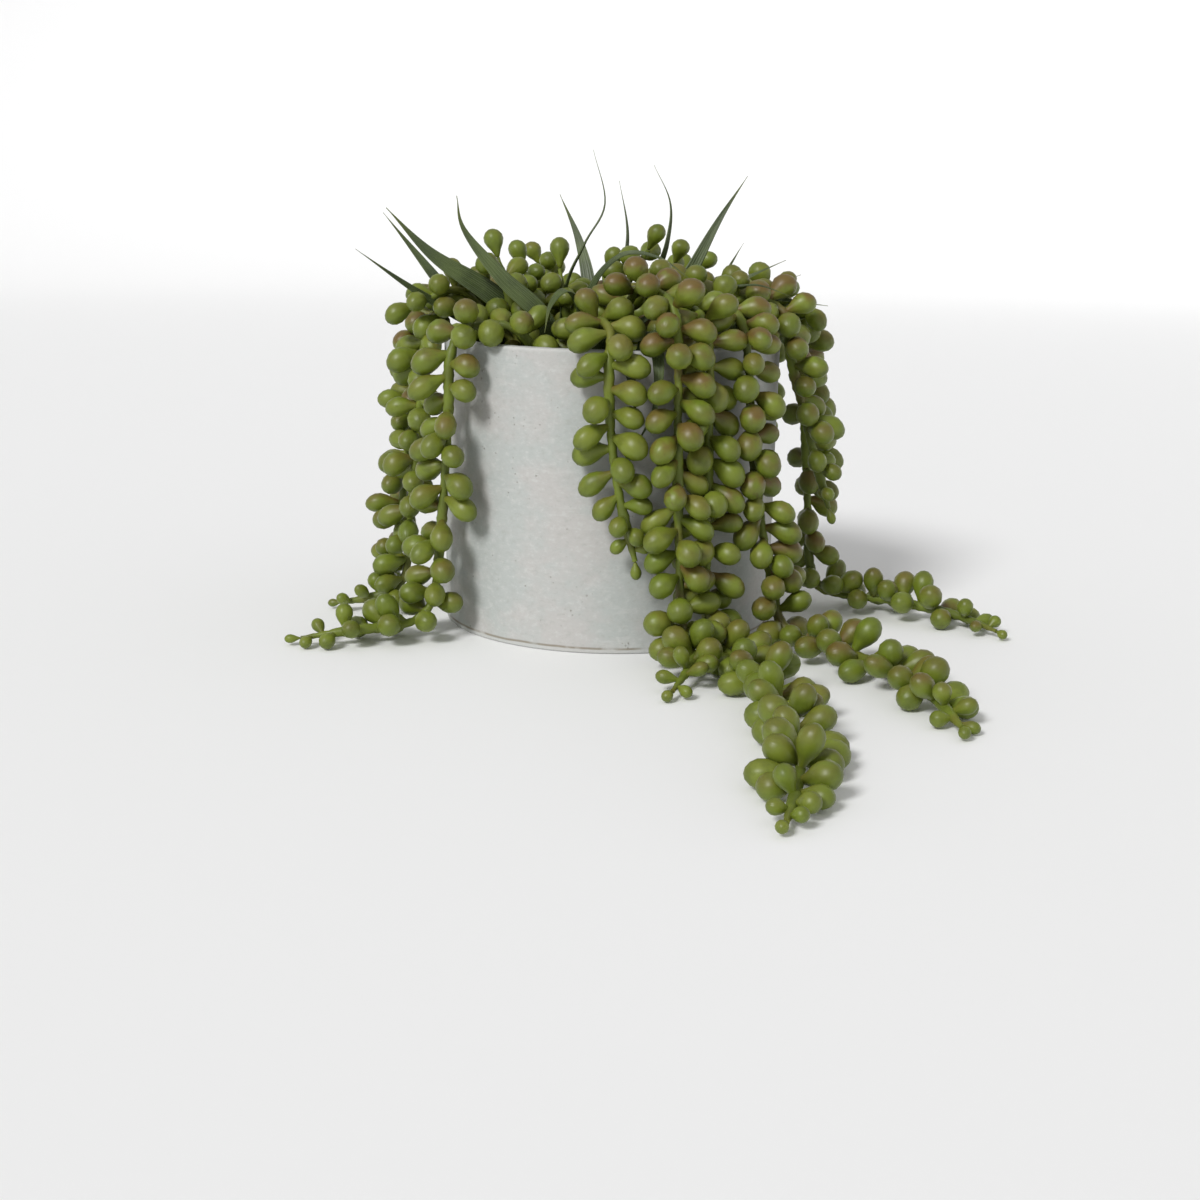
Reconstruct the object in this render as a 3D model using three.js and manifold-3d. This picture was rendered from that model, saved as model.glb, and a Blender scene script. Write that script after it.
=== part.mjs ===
// Potted string of pearls: a straight cement pot filled with soil, strands of pear-shaped leaves that
// arch over its rim and trail, short upright sprigs, and blades of grass between them.
// Millimetres, +Z up. The origin is the middle of the pot's underside and the front faces -Y.
// Angles around the pot are degrees from the front, positive towards +X.
import * as THREE from 'three';
import { mergeVertices } from 'three/addons/utils/BufferGeometryUtils.js';
import Module from 'manifold-3d';

const wasm = await Module();
wasm.setup();

// ---------------------------------------------------------------- driving dimensions

const POT_RADIUS = 70;
const POT_FOOT_RADIUS = 69.5;
const POT_HEIGHT = 118.5;
const POT_WALL = 6;
const POT_FLOOR = 9;
const POT_BEVEL = 0.8;
const POT_SEGMENTS = 48;

const SOIL_EDGE = 104;
const SOIL_CROWN = 5;
const SOIL_SEGMENTS = 20;
const ROOT_DEPTH = 9;

const CLEARANCE = 0.3;

const STEM_RADIUS = 1.3;
const STEM_SIDES = 4;
const STEM_STEP = 12;
const LYING_HEIGHT = 6.5;
const LYING_TIP_HEIGHT = STEM_RADIUS + 2;
const FOOT_BEND = 15;
const SHOULDER_DROP = 6;
const SPRIG_RISE = 6;
const ROUTE_STEP = 22;

const PEARL_LENGTH = 16;
const PEARL_RADIUS = 5;
const PEARL_SIDES = 4;
const PEARL_SPACING = 5.2;
const BARE_ROOT = ROOT_DEPTH + PEARL_RADIUS;
const TAPER_LENGTH = 34;
const STRAND_BUD = 0.42; // size of the tip's leaf, as a share of a full one
const SPRIG_BUD = 0.85;
const LEAST_NECK = 0.8; // of a leaf's radius, between the stem and its middle
const GIRTH_RANGE = [0.88, 1.08];
const LENGTH_RANGE = [0.9, 1.08];
const SQUARE_GIRTH = 1.08; // makes up for the flats of a four-sided leaf

// Leaves stand to the left and right of a stem's open side, and every few of them face the open side.
const SIDE_ANGLE = 76;
const SIDE_SWAY = 32;
const FACING_EVERY = 5;
const FACING_SHARE = 0.3;
const LEAN_RANGE = [-12, 32];
const TIP_LEAN = 80;

const BLADE_THICKNESS = 0.7;
const BLADE_STEPS = 7;
const NARROWEST_BLADE = 0.12;

const SETTLE_ROUNDS = 60;
const HOMING = 0.02;
const POST_SPACING = 3;
const BLADE_POST = 0.3; // radius of a blade's posts, as a share of its width

const GROUND_SIZE = 1200;
const GROUND_DEPTH = 40;

// ---------------------------------------------------------------- plant layout

// root: angle and radius where the stem leaves the soil. crest: height of its arch above the rim.
// over and foot: angles at the rim and at the lower end. gap: stem to wall, at the top and lower down.
// A hanging strand ends at height tip. A trailing one reaches the surface that the pot stands on and
// lies along it for the length trail, starting along heading and turning by turn in all.
const STRANDS = [
  { name: 'strand_front_left', root: [-30, 50], crest: 6, over: -52, foot: -57, gap: [10, 13],
    trail: 41, heading: -48, turn: -34 },
  { name: 'strand_left', root: [-72, 38], crest: 9, over: -84, foot: -86, gap: [8, 16],
    trail: 14, heading: -88, turn: -10 },
  { name: 'strand_left_rear', root: [-106, 36], crest: 12, over: -101, foot: -96, gap: [14, 26], tip: 5 },
  { name: 'strand_front', root: [-12, 44], crest: 9, over: -1, foot: 7, gap: [9, 11], tip: 40 },
  { name: 'strand_front_right', root: [4, 28], crest: 21, over: 17, foot: 18.5, gap: [13, 17],
    trail: 33, heading: -4, turn: -16 },
  { name: 'strand_longest', root: [34, 40], crest: 13, over: 28, foot: 28, gap: [8, 11],
    trail: 171, heading: 22, turn: -36 },
  { name: 'strand_right', root: [50, 36], crest: 14, over: 42, foot: 50, gap: [8, 16],
    trail: 110, heading: 44, turn: -36 },
  { name: 'strand_right_short', root: [78, 34], crest: 16, over: 72, foot: 78, gap: [6, 23], tip: 51 },
  { name: 'strand_right_rear', root: [104, 40], crest: 12, over: 98, foot: 97, gap: [12, 19],
    trail: 76, heading: 74, turn: -38 },
  { name: 'strand_rear_right', root: [128, 38], crest: 10, over: 126, foot: 129, gap: [10, 13], tip: 58 },
  { name: 'strand_rear_1', root: [150, 42], crest: 14, over: 152, foot: 154, gap: [10, 14], tip: 22 },
  { name: 'strand_rear_2', root: [176, 40], crest: 9, over: 178, foot: 181, gap: [10, 12],
    trail: 30, heading: 186, turn: 30 },
  { name: 'strand_rear_3', root: [200, 44], crest: 12, over: 205, foot: 203, gap: [10, 13], tip: 66 },
  { name: 'strand_rear_left', root: [226, 40], crest: 10, over: 231, foot: 234, gap: [10, 15], tip: 34 },
];

// Short stems that stay above the pot: where they leave the soil, the point they arch through, their tip.
const SPRIGS = [
  { name: 'sprig_left', root: [-38, -14], arch: [-43, -14, 138], tip: [-47, -12, 150] },
  { name: 'sprig_far_left', root: [-44, 8], arch: [-62, -6, 136], tip: [-80, -14, 131] },
  { name: 'sprig_front', root: [-16, -8], arch: [-20, -10, 132], tip: [-22, -8, 146] },
  { name: 'sprig_centre', root: [2, 4], arch: [5, -2, 138], tip: [14, -6, 154] },
  { name: 'sprig_centre_right', root: [26, -12], arch: [28, -22, 136], tip: [22, -38, 143] },
  { name: 'sprig_right', root: [30, 6], arch: [40, -4, 134], tip: [48, -16, 140] },
  { name: 'sprig_far_right', root: [46, 18], arch: [62, 6, 136], tip: [78, -4, 132] },
  { name: 'sprig_middle_left', root: [-28, 14], arch: [-33, 16, 132], tip: [-38, 16, 145] },
  { name: 'sprig_middle', root: [-6, 22], arch: [-6, 22, 130], tip: [-2, 20, 143] },
  { name: 'sprig_middle_right', root: [18, 18], arch: [20, 20, 134], tip: [26, 18, 148] },
  { name: 'sprig_rear_left', root: [-18, 34], arch: [-24, 38, 134], tip: [-32, 40, 146] },
  { name: 'sprig_rear_right', root: [18, 36], arch: [26, 42, 134], tip: [36, 44, 144] },
];

// Grass blades, root to tip. face: the way the flat of the blade looks, and tipFace the way it looks at the
// tip where the blade bends right over, since a flat can't look along its own blade. twist: turn along it.
const BLADES = [
  { name: 'blade_left_low', width: 5, face: [0, -1, 0.5], twist: 10,
    path: [[-38, 0, 98], [-46, -2, 116], [-65, -8, 127], [-82, -18, 138], [-102, -30, 153]] },
  { name: 'blade_left_broad', width: 10, face: [0.2, -1, 0.6], twist: -20,
    path: [[-30, -8, 98], [-36, -10, 122], [-50, -14, 136], [-73, -18, 151], [-91, -20, 169]] },
  { name: 'blade_left_tall', width: 6, face: [0, -1, 0.3], twist: 15,
    path: [[-48, 4, 98], [-56, 4, 118], [-66, 4, 131], [-80, 6, 148], [-96, 8, 167]] },
  { name: 'blade_left_curved', width: 8.5, face: [0.3, -1, 0.5], twist: -15,
    path: [[-20, -26, 98], [-27, -32, 126], [-44, -33, 143], [-59, -31, 161], [-62, -30, 174]] },
  { name: 'blade_thin_tall', width: 2.6, face: [0.2, -1, 0], twist: 120,
    path: [[-22, -2, 98], [-20, -12, 136], [-12, -14, 156], [-4, -12, 172], [-9, -10, 193]] },
  { name: 'blade_centre_tall', width: 4.2, face: [0.2, -1, 0.1], twist: 60,
    path: [[12, 8, 98], [17, 6, 138], [22, 4, 157], [23, 8, 173], [16, 10, 188]] },
  { name: 'blade_right_tall', width: 6.5, face: [0, -1, 0.2], twist: 12,
    path: [[18, -4, 98], [26, -6, 133], [34, -6, 150], [43, -4, 167], [54, 0, 184]] },
  { name: 'blade_right_short', width: 4, face: [0, -1, 0.2], twist: 0,
    path: [[36, 18, 98], [41, 17, 132], [48, 18, 145], [55, 20, 157]] },
  { name: 'blade_right_low', width: 6, face: [0, -1, 0.8], twist: -25,
    path: [[26, 2, 98], [33, -5, 128], [45, -8, 139], [57, -10, 145], [70, -10, 151]] },
  { name: 'blade_right_level', width: 5, face: [0.1, -0.6, 1], twist: 10,
    path: [[44, 6, 98], [54, 0, 128], [66, -6, 135], [77, -8, 134], [88, -10, 133]] },
  { name: 'blade_arch', width: 4, face: [0, -0.6, 1], twist: 20,
    path: [[-10, -20, 98], [-10, -26, 135], [2, -32, 152], [17, -36, 152], [31, -42, 143]] },
  { name: 'blade_arch_thin', width: 2, face: [0, -0.6, 1], twist: 0,
    path: [[32, -24, 98], [40, -32, 134], [54, -36, 142], [72, -38, 137]] },
  { name: 'blade_folded', width: 7, face: [0.3, 1, 0.5], tipFace: [-0.4, -1, 0.6], twist: -10,
    path: [[-8, -32, 98], [-11, -38, 128], [-18, -47, 139], [-24, -55, 134], [-26, -61, 124]] },
  { name: 'blade_over_rim_left', width: 8.5, face: [0, 1, 0.5], tipFace: [0, -1, 0.4], twist: 0,
    path: [[-6, -44, 98], [-3, -54, 119], [0, -65, 124], [5, -75, 116], [8, -78, 103], [9, -77, 92]] },
  { name: 'blade_over_rim_right', width: 6, face: [0, 1, 0.6], tipFace: [0, -1, 0.2], twist: 25,
    path: [[10, -44, 98], [12, -54, 119], [14, -65, 125], [17, -76, 115], [16, -79, 98], [8, -79, 82]] },
  { name: 'blade_front_short', width: 5, face: [0, -1, 0.6], twist: 10,
    path: [[2, -34, 98], [4, -38, 118], [12, -40, 128], [24, -40, 133]] },
  { name: 'blade_rear_left_low', width: 6, face: [0, 1, 0.6], twist: -15,
    path: [[-38, 26, 98], [-50, 32, 124], [-66, 42, 138], [-84, 52, 150]] },
  { name: 'blade_rear_left_tall', width: 7, face: [0.2, 1, 0.3], twist: 20,
    path: [[-8, 26, 98], [-10, 34, 134], [-15, 44, 156], [-24, 54, 176]] },
  { name: 'blade_rear_tall', width: 3.5, face: [0, 1, 0.2], twist: 70,
    path: [[6, 24, 98], [4, 27, 136], [6, 30, 160], [2, 38, 182]] },
  { name: 'blade_rear_right', width: 8, face: [0.3, 1, 0.4], twist: -15,
    path: [[24, 26, 98], [30, 38, 130], [38, 54, 148], [44, 70, 160]] },
  { name: 'blade_rear_right_low', width: 5, face: [0, 1, 0.9], twist: 15,
    path: [[46, 32, 98], [56, 40, 126], [70, 48, 138], [84, 54, 143]] },
  { name: 'blade_over_rim_rear', width: 7, face: [0, -1, 0.5], tipFace: [0, 1, 0.3], twist: 15,
    path: [[-6, 46, 98], [-7, 56, 120], [-9, 66, 124], [-10, 78, 114], [-8, 81, 98], [-4, 80, 86]] },
];

// ---------------------------------------------------------------- finishes

const FINISHES = {
  cement: new THREE.MeshStandardMaterial({ name: 'cement', color: 0xb6b9b4, roughness: 0.85 }),
  soil: new THREE.MeshStandardMaterial({ name: 'soil', color: 0x2b241c, roughness: 0.95 }),
  pearls: new THREE.MeshStandardMaterial({ name: 'pearls', color: 0x66762b, roughness: 0.48 }),
  grass: new THREE.MeshStandardMaterial({ name: 'grass', color: 0x47593a, roughness: 0.4 }),
};

// ---------------------------------------------------------------- small helpers

const UP = new THREE.Vector3(0, 0, 1);
const radians = THREE.MathUtils.degToRad;
const mix = THREE.MathUtils.lerp;
const clamp = THREE.MathUtils.clamp;

/** A point given by its angle around the pot, its distance from the axis and its height. */
function around(degrees, radius, z) {
  const a = radians(degrees);
  return new THREE.Vector3(radius * Math.sin(a), -radius * Math.cos(a), z);
}

/** A repeatable number from 0 to 1 for a whole number. */
function scatter(seed) {
  const wave = Math.sin(seed * 12.9898) * 43758.5453;
  return wave - Math.floor(wave);
}

function soilHeight(radius) {
  const edge = POT_RADIUS - POT_WALL;
  return SOIL_EDGE + SOIL_CROWN * (1 - (radius / edge) ** 2);
}

// ---------------------------------------------------------------- solids

/** Turns a closed geometry into a solid that can be joined and cut. */
function solidOf(geometry) {
  const bare = geometry.clone();
  ['normal', 'uv'].forEach((name) => bare.deleteAttribute(name));
  const merged = mergeVertices(bare, 1e-4);
  return new wasm.Manifold(new wasm.Mesh({
    numProp: 3,
    vertProperties: new Float32Array(merged.attributes.position.array),
    triVerts: new Uint32Array(merged.index.array),
  }));
}

/** A solid's surface as a geometry. */
function geometryOf(solid) {
  const { vertProperties, triVerts } = solid.getMesh();
  const geometry = new THREE.BufferGeometry();
  geometry.setAttribute('position', new THREE.BufferAttribute(vertProperties, 3));
  geometry.setIndex(new THREE.BufferAttribute(triVerts, 1));
  return geometry;
}

/** A solid's biggest piece: what a cut leaves loose is dropped. */
function biggestPiece(solid) {
  return solid.decompose().sort((a, b) => b.volume() - a.volume())[0];
}

/** The named mesh of a solid's biggest piece, found again once its points are rounded to 32 bits. */
function meshOf(solid, name, finish) {
  const rounded = solidOf(geometryOf(biggestPiece(solid)));
  const mesh = new THREE.Mesh(geometryOf(biggestPiece(rounded)), finish);
  mesh.name = name;
  return mesh;
}

/** A body of revolution around the pot's axis, from [radius, height] pairs. */
function turned(profile, segments) {
  const points = profile.map(([radius, z]) => new THREE.Vector2(radius, z));
  return solidOf(new THREE.LatheGeometry(points, segments).rotateX(Math.PI / 2));
}

/** The pot, or the room that it needs when grow is more than nothing. */
function potSolid(grow = 0) {
  const inside = POT_RADIUS - POT_WALL - grow;
  const outside = POT_RADIUS + grow;
  const top = POT_HEIGHT + grow;
  return turned([
    [0, -grow],
    [POT_FOOT_RADIUS - POT_BEVEL + grow, -grow],
    [POT_FOOT_RADIUS + grow, POT_BEVEL],
    [outside, top - POT_BEVEL],
    [outside - POT_BEVEL, top],
    [inside + POT_BEVEL, top],
    [inside, top - POT_BEVEL],
    [inside, POT_FLOOR + grow],
    [0, POT_FLOOR + grow],
  ], POT_SEGMENTS);
}

/** The soil's own body, domed a little, before the stems and blades are let into it. */
function soilSolid() {
  const edge = POT_RADIUS - POT_WALL - CLEARANCE;
  const rings = [1, 0.75, 0.5, 0.25].map((share) => [edge * share, soilHeight(edge * share)]);
  return turned([
    [0, POT_FLOOR + CLEARANCE],
    [edge, POT_FLOOR + CLEARANCE],
    ...rings,
    [0, soilHeight(0)],
  ], SOIL_SEGMENTS);
}

/** A stem of one thickness along a curve. */
function stemSolid(curve, radius) {
  const ring = [...Array(STEM_SIDES).keys()].map((i) => {
    const a = (2 * Math.PI * i) / STEM_SIDES;
    return new THREE.Vector2(radius * Math.cos(a), radius * Math.sin(a));
  });
  return solidOf(new THREE.ExtrudeGeometry(new THREE.Shape(ring), {
    extrudePath: curve,
    steps: Math.ceil(curve.getLength() / STEM_STEP),
  }));
}

/** A pear-shaped leaf: a point on the stem's axis widening to a round end. */
function pearlSolid({ anchor, aim, reach, radius }, grow) {
  const girth = radius + grow;
  const profile = [[0, 0], [girth * SQUARE_GIRTH, reach], [0, reach + girth]];
  const lathe = new THREE.LatheGeometry(profile.map(([r, y]) => new THREE.Vector2(r, y)), PEARL_SIDES);
  const turn = new THREE.Quaternion().setFromUnitVectors(new THREE.Vector3(0, 1, 0), aim);
  return solidOf(lathe.applyQuaternion(turn).translate(anchor.x, anchor.y, anchor.z));
}

/** A stem with its leaves, joined in one body. */
function plantSolid({ curve, pearls }, grow = 0) {
  return pearls.reduce(
    (body, pearl) => body.add(pearlSolid(pearl, grow)),
    stemSolid(curve, STEM_RADIUS + grow),
  );
}

/** A blade: a flat bar whose width swells and runs out to a point, laid along a curve. */
function bladeSolid({ curve, width, face, tipFace, twist }, grow = 0) {
  const bar = new THREE.BoxGeometry(1, 1, 1, BLADE_STEPS, 1, 1);
  const place = bar.attributes.position;
  for (let i = 0; i < place.count; i += 1) {
    const along = clamp(place.getX(i) + 0.5, 0, 1);
    const tangent = curve.getTangentAt(along);
    const facing = face.clone().lerp(tipFace, along);
    const side = new THREE.Vector3().crossVectors(tangent, facing).normalize();
    side.applyAxisAngle(tangent, radians(twist * along));
    const flat = new THREE.Vector3().crossVectors(tangent, side);
    const point = curve.getPointAt(along)
      .addScaledVector(side, place.getY(i) * (width * bladeOutline(along) + 2 * grow))
      .addScaledVector(flat, place.getZ(i) * (BLADE_THICKNESS + 2 * grow));
    place.setXYZ(i, point.x, point.y, point.z);
  }
  return solidOf(bar);
}

/** A blade's width at a place from root, 0, to tip, 1, as a share of its widest. */
function bladeOutline(along) {
  const swell = 0.55 + 0.45 * Math.sin(Math.PI * Math.min(along / 0.9, 1));
  return Math.max(swell * (1 - along ** 3), NARROWEST_BLADE);
}

// ---------------------------------------------------------------- routes and leaf places

/** The points of a strand: out of the soil, over the rim, down the wall, and along the surface. */
function strandRoute({ root, crest, over, foot, gap, tip, trail, heading, turn }) {
  const [rootAngle, rootRadius] = root;
  const top = POT_HEIGHT + crest;
  const shoulder = POT_HEIGHT - SHOULDER_DROP;
  const lowest = trail === undefined ? tip : LYING_HEIGHT + FOOT_BEND;
  const points = [
    around(rootAngle, rootRadius, soilHeight(rootRadius) - ROOT_DEPTH),
    around(rootAngle, rootRadius + 1, soilHeight(rootRadius) + crest * 0.45),
    around(mix(rootAngle, over, 0.5), mix(rootRadius, POT_RADIUS, 0.5), top),
    around(over, POT_RADIUS + gap[0] * 0.3, POT_HEIGHT + crest * 0.8),
    around(over, POT_RADIUS + gap[0], shoulder),
  ];
  const fall = shoulder - lowest;
  const steps = Math.ceil(fall / ROUTE_STEP);
  for (let i = 1; i <= steps; i += 1) {
    const share = i / steps;
    const radius = POT_RADIUS + mix(gap[0], gap[1], share);
    points.push(around(mix(over, foot, share ** 2), radius, shoulder - fall * share));
  }
  if (trail !== undefined) {
    points.push(...trailRoute(foot, POT_RADIUS + gap[1], trail, heading, turn));
  }
  return points;
}

/** The bend from the wall to the surface, and the stretch that lies there. */
function trailRoute(foot, radius, trail, heading, turn) {
  const bend = [45, 90].map((degrees) => {
    const a = radians(degrees);
    return around(foot, radius + FOOT_BEND * (1 - Math.cos(a)), LYING_HEIGHT + FOOT_BEND * (1 - Math.sin(a)));
  });
  const steps = Math.ceil(trail / ROUTE_STEP);
  const place = bend[1].clone();
  const run = [];
  for (let i = 1; i <= steps; i += 1) {
    place.add(around(heading + turn * (i / steps), trail / steps, 0));
    run.push(place.clone().setZ(mix(LYING_HEIGHT, LYING_TIP_HEIGHT, (i / steps) ** 3)));
  }
  return [...bend, ...run];
}

/** The way that is open around a stem: up above the pot and on the surface, outwards beside the wall. */
function openSide(point) {
  const radius = Math.hypot(point.x, point.y);
  const outwards = new THREE.Vector3(point.x / radius, point.y / radius, 0);
  const beside = clamp((radius - POT_RADIUS + POT_WALL) / (2 * POT_WALL), 0, 1);
  const lying = clamp((LYING_HEIGHT + FOOT_BEND - point.z) / FOOT_BEND, 0, 1);
  return outwards.multiplyScalar(beside * (1 - lying)).addScaledVector(UP, 1 - beside + lying).normalize();
}

/** How far round from the stem's open side a leaf stands, in degrees: left and right by turns. */
function turnOf(number, chance) {
  const side = number % 2 === 0 ? 1 : -1;
  const share = number % FACING_EVERY === FACING_EVERY - 1 ? FACING_SHARE : 1;
  return side * share * (SIDE_ANGLE + SIDE_SWAY * (2 * chance - 1));
}

/** The leaves of one stem before they are settled, from its tip to its root and smaller towards the tip. */
function growPearls(curve, bud, seed) {
  const length = curve.getLength();
  const count = Math.floor((length - BARE_ROOT) / PEARL_SPACING) + 1;
  return [...Array(count).keys()].map((i) => {
    const fromTip = i * PEARL_SPACING;
    const along = 1 - fromTip / length;
    const anchor = curve.getPointAt(along);
    const tangent = curve.getTangentAt(along);
    const key = seed * 100 + i;
    const out = openSide(anchor).projectOnPlane(tangent).normalize();
    const lean = radians(i === 0 ? TIP_LEAN : mix(...LEAN_RANGE, scatter(key + 0.37)));
    const aim = out.applyAxisAngle(tangent, radians(turnOf(i, scatter(key))))
      .multiplyScalar(Math.cos(lean))
      .addScaledVector(tangent, Math.sin(lean))
      .normalize();
    const size = mix(bud, 1, Math.min(fromTip / TAPER_LENGTH, 1));
    const radius = PEARL_RADIUS * size * mix(...GIRTH_RANGE, scatter(key + 0.71));
    const long = PEARL_LENGTH * size * mix(...LENGTH_RANGE, scatter(key + 0.53));
    const reach = Math.max(long - radius, STEM_RADIUS + radius * LEAST_NECK);
    return { along, anchor, aim, home: aim.clone(), reach, radius };
  });
}

// ---------------------------------------------------------------- settling the leaves

/** How far and which way a ball has to move to clear the pot. */
function pushFromPot(centre, radius) {
  const distance = Math.hypot(centre.x, centre.y);
  const middle = POT_RADIUS - POT_WALL / 2;
  const across = Math.abs(distance - middle) - POT_WALL / 2;
  const above = centre.z - POT_HEIGHT;
  const outside = new THREE.Vector2(Math.max(across, 0), Math.max(above, 0));
  const away = outside.length();
  const clear = away > 0 ? away : Math.max(across, above);
  if (clear >= radius) return new THREE.Vector3();
  const flat = (away > 0 ? outside.x / away : Number(across > above)) * Math.sign(distance - middle);
  const rise = away > 0 ? outside.y / away : Number(above >= across);
  return new THREE.Vector3((centre.x / distance) * flat, (centre.y / distance) * flat, rise)
    .multiplyScalar(radius - clear);
}

/** Turns the leaves on their stems until none presses into another, a stem, a blade, the pot or the soil. */
function settle(pearls, posts) {
  const centreOf = ({ anchor, aim, reach }) => anchor.clone().addScaledVector(aim, reach);
  for (let round = 0; round < SETTLE_ROUNDS; round += 1) {
    const centres = pearls.map(centreOf);
    const moved = pearls.map((pearl, i) => {
      const centre = centres[i];
      const push = pushFromPot(centre, pearl.radius + CLEARANCE);
      pearls.forEach((other, j) => {
        const room = pearl.radius + other.radius + CLEARANCE;
        const apart = centre.distanceTo(centres[j]);
        if (i !== j && apart < room) {
          const press = (0.5 * (room - apart)) / Math.max(apart, 0.01);
          push.addScaledVector(centre.clone().sub(centres[j]), press);
        }
      });
      posts.forEach((post) => {
        const room = pearl.radius + post.radius + CLEARANCE;
        const apart = centre.distanceTo(post.point);
        if (apart < room) push.addScaledVector(centre.clone().sub(post.point), (room - apart) / apart);
      });
      const distance = Math.hypot(centre.x, centre.y);
      const below = distance < POT_RADIUS - POT_WALL ? soilHeight(distance) : 0;
      push.z += Math.max(below + pearl.radius + CLEARANCE - centre.z, 0);
      return push;
    });
    pearls.forEach((pearl, i) => {
      const target = centres[i].add(moved[i]).sub(pearl.anchor).normalize();
      pearl.aim.copy(target.addScaledVector(pearl.home, HOMING).normalize());
    });
  }
}

/** Balls along a curve that the leaves keep clear of. */
function posts(curve, radius) {
  const steps = Math.ceil(curve.getLength() / POST_SPACING);
  return curve.getSpacedPoints(steps).map((point) => ({ point, radius }));
}

/** The stretch of a curve between two shares of its length. */
function stretchOf(curve, from, to) {
  const steps = Math.ceil((curve.getLength() * (to - from)) / POST_SPACING);
  return curveThrough([...Array(steps + 1).keys()].map((i) => curve.getPointAt(mix(from, to, i / steps))));
}

/** A stem's pieces: one, or for a strand that lies on the surface one down to the bend and one from there. */
function piecesOf({ name, curve, pearls, trail }) {
  if (trail === undefined) return [{ name, curve, pearls }];
  const foot = 1 - (trail + (FOOT_BEND * Math.PI) / 4) / curve.getLength();
  return [
    { name, curve: stretchOf(curve, 0, foot), pearls: pearls.filter(({ along }) => along < foot) },
    {
      name: `${name}_lying`,
      curve: stretchOf(curve, foot, 1),
      pearls: pearls.filter(({ along }) => along >= foot),
    },
  ];
}

// ---------------------------------------------------------------- the whole plant

const toVector = (values) => new THREE.Vector3(...values);
const curveThrough = (points) => new THREE.CatmullRomCurve3(points, false, 'catmullrom', 0.5);

const stems = [
  ...STRANDS.map((strand) => (
    { name: strand.name, trail: strand.trail, curve: curveThrough(strandRoute(strand)), bud: STRAND_BUD }
  )),
  ...SPRIGS.map(({ name, root, arch, tip }) => {
    const top = soilHeight(Math.hypot(...root));
    const points = [[...root, top - ROOT_DEPTH], [...root, top + SPRIG_RISE], arch, tip];
    return { name, curve: curveThrough(points.map(toVector)), bud: SPRIG_BUD };
  }),
];
stems.forEach((stem, index) => {
  stem.pearls = growPearls(stem.curve, stem.bud, index + 1);
});
const blades = BLADES.map((blade) => ({
  ...blade,
  curve: curveThrough(blade.path.map(toVector)),
  face: toVector(blade.face).normalize(),
  tipFace: toVector(blade.tipFace ?? blade.face).normalize(),
}));

settle(stems.flatMap(({ pearls }) => pearls), [
  ...stems.flatMap(({ curve }) => posts(curve, STEM_RADIUS)),
  ...blades.flatMap(({ curve, width }) => posts(curve, width * BLADE_POST)),
]);

const ground = solidOf(
  new THREE.BoxGeometry(GROUND_SIZE, GROUND_SIZE, GROUND_DEPTH).translate(0, 0, CLEARANCE - GROUND_DEPTH / 2),
);
const pieces = stems.flatMap(piecesOf);
const potRoom = potSolid(CLEARANCE);
const taken = [];

/** Cuts away what would run into the pot, the surface or a piece that is already placed. */
function fitted(body, grown) {
  const clear = taken.reduce((left, other) => left.subtract(other), body.subtract(potRoom));
  taken.push(grown);
  return clear;
}

const plant = new THREE.Group();
plant.name = 'potted_string_of_pearls';
plant.add(meshOf(potSolid(), 'pot', FINISHES.cement));
blades.forEach((blade) => {
  plant.add(meshOf(fitted(bladeSolid(blade), bladeSolid(blade, CLEARANCE)), blade.name, FINISHES.grass));
});
pieces.forEach((piece) => {
  const body = fitted(plantSolid(piece).subtract(ground), plantSolid(piece, CLEARANCE));
  plant.add(meshOf(body, piece.name, FINISHES.pearls));
});
const rooted = [
  ...pieces.map(({ curve }) => stemSolid(curve, STEM_RADIUS + CLEARANCE)),
  ...blades.map((blade) => bladeSolid(blade, CLEARANCE)),
];
const soil = rooted.reduce((left, other) => left.subtract(other), soilSolid());
plant.add(meshOf(soil, 'soil', FINISHES.soil));

export default plant;
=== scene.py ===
"""Looks of a potted string of pearls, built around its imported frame.

Everything is in metres in the frame's own axes: +Z up, the front facing -Y, the origin in the middle of the
pot's underside. The layout tables are in millimetres, as the part's own are, and angles around the pot are
degrees from the front, positive towards +X.
"""

import logging
import math
from dataclasses import dataclass, field
from enum import Enum
from typing import Any, Callable, Optional, Sequence, Union

import bpy
import numpy as np
from mathutils import Euler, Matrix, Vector, noise


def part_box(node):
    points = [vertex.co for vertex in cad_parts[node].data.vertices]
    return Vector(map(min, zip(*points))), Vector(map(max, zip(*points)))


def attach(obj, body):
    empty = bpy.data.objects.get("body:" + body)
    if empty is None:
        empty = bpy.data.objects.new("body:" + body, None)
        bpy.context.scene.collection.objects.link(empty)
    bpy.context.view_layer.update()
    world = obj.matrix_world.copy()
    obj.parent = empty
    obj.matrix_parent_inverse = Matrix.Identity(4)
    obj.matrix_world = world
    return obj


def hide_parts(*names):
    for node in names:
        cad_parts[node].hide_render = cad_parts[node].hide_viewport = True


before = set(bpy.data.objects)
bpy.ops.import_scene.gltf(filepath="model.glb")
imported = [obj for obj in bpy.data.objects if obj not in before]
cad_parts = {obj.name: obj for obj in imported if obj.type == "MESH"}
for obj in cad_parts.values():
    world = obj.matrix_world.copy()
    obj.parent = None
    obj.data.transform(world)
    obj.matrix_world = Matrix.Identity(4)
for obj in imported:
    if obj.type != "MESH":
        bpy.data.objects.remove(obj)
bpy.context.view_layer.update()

MM = 0.001
BODY = "root"
log = logging.getLogger("string_of_pearls")


class Slot(Enum):
    """Material slots of the record, one named for each piece."""

    POT = "pot"
    SOIL = "soil"
    PEARLS = "string_of_pearls"
    GRASS = "grass"


# ---------------------------------------------------------------- node trees

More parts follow.
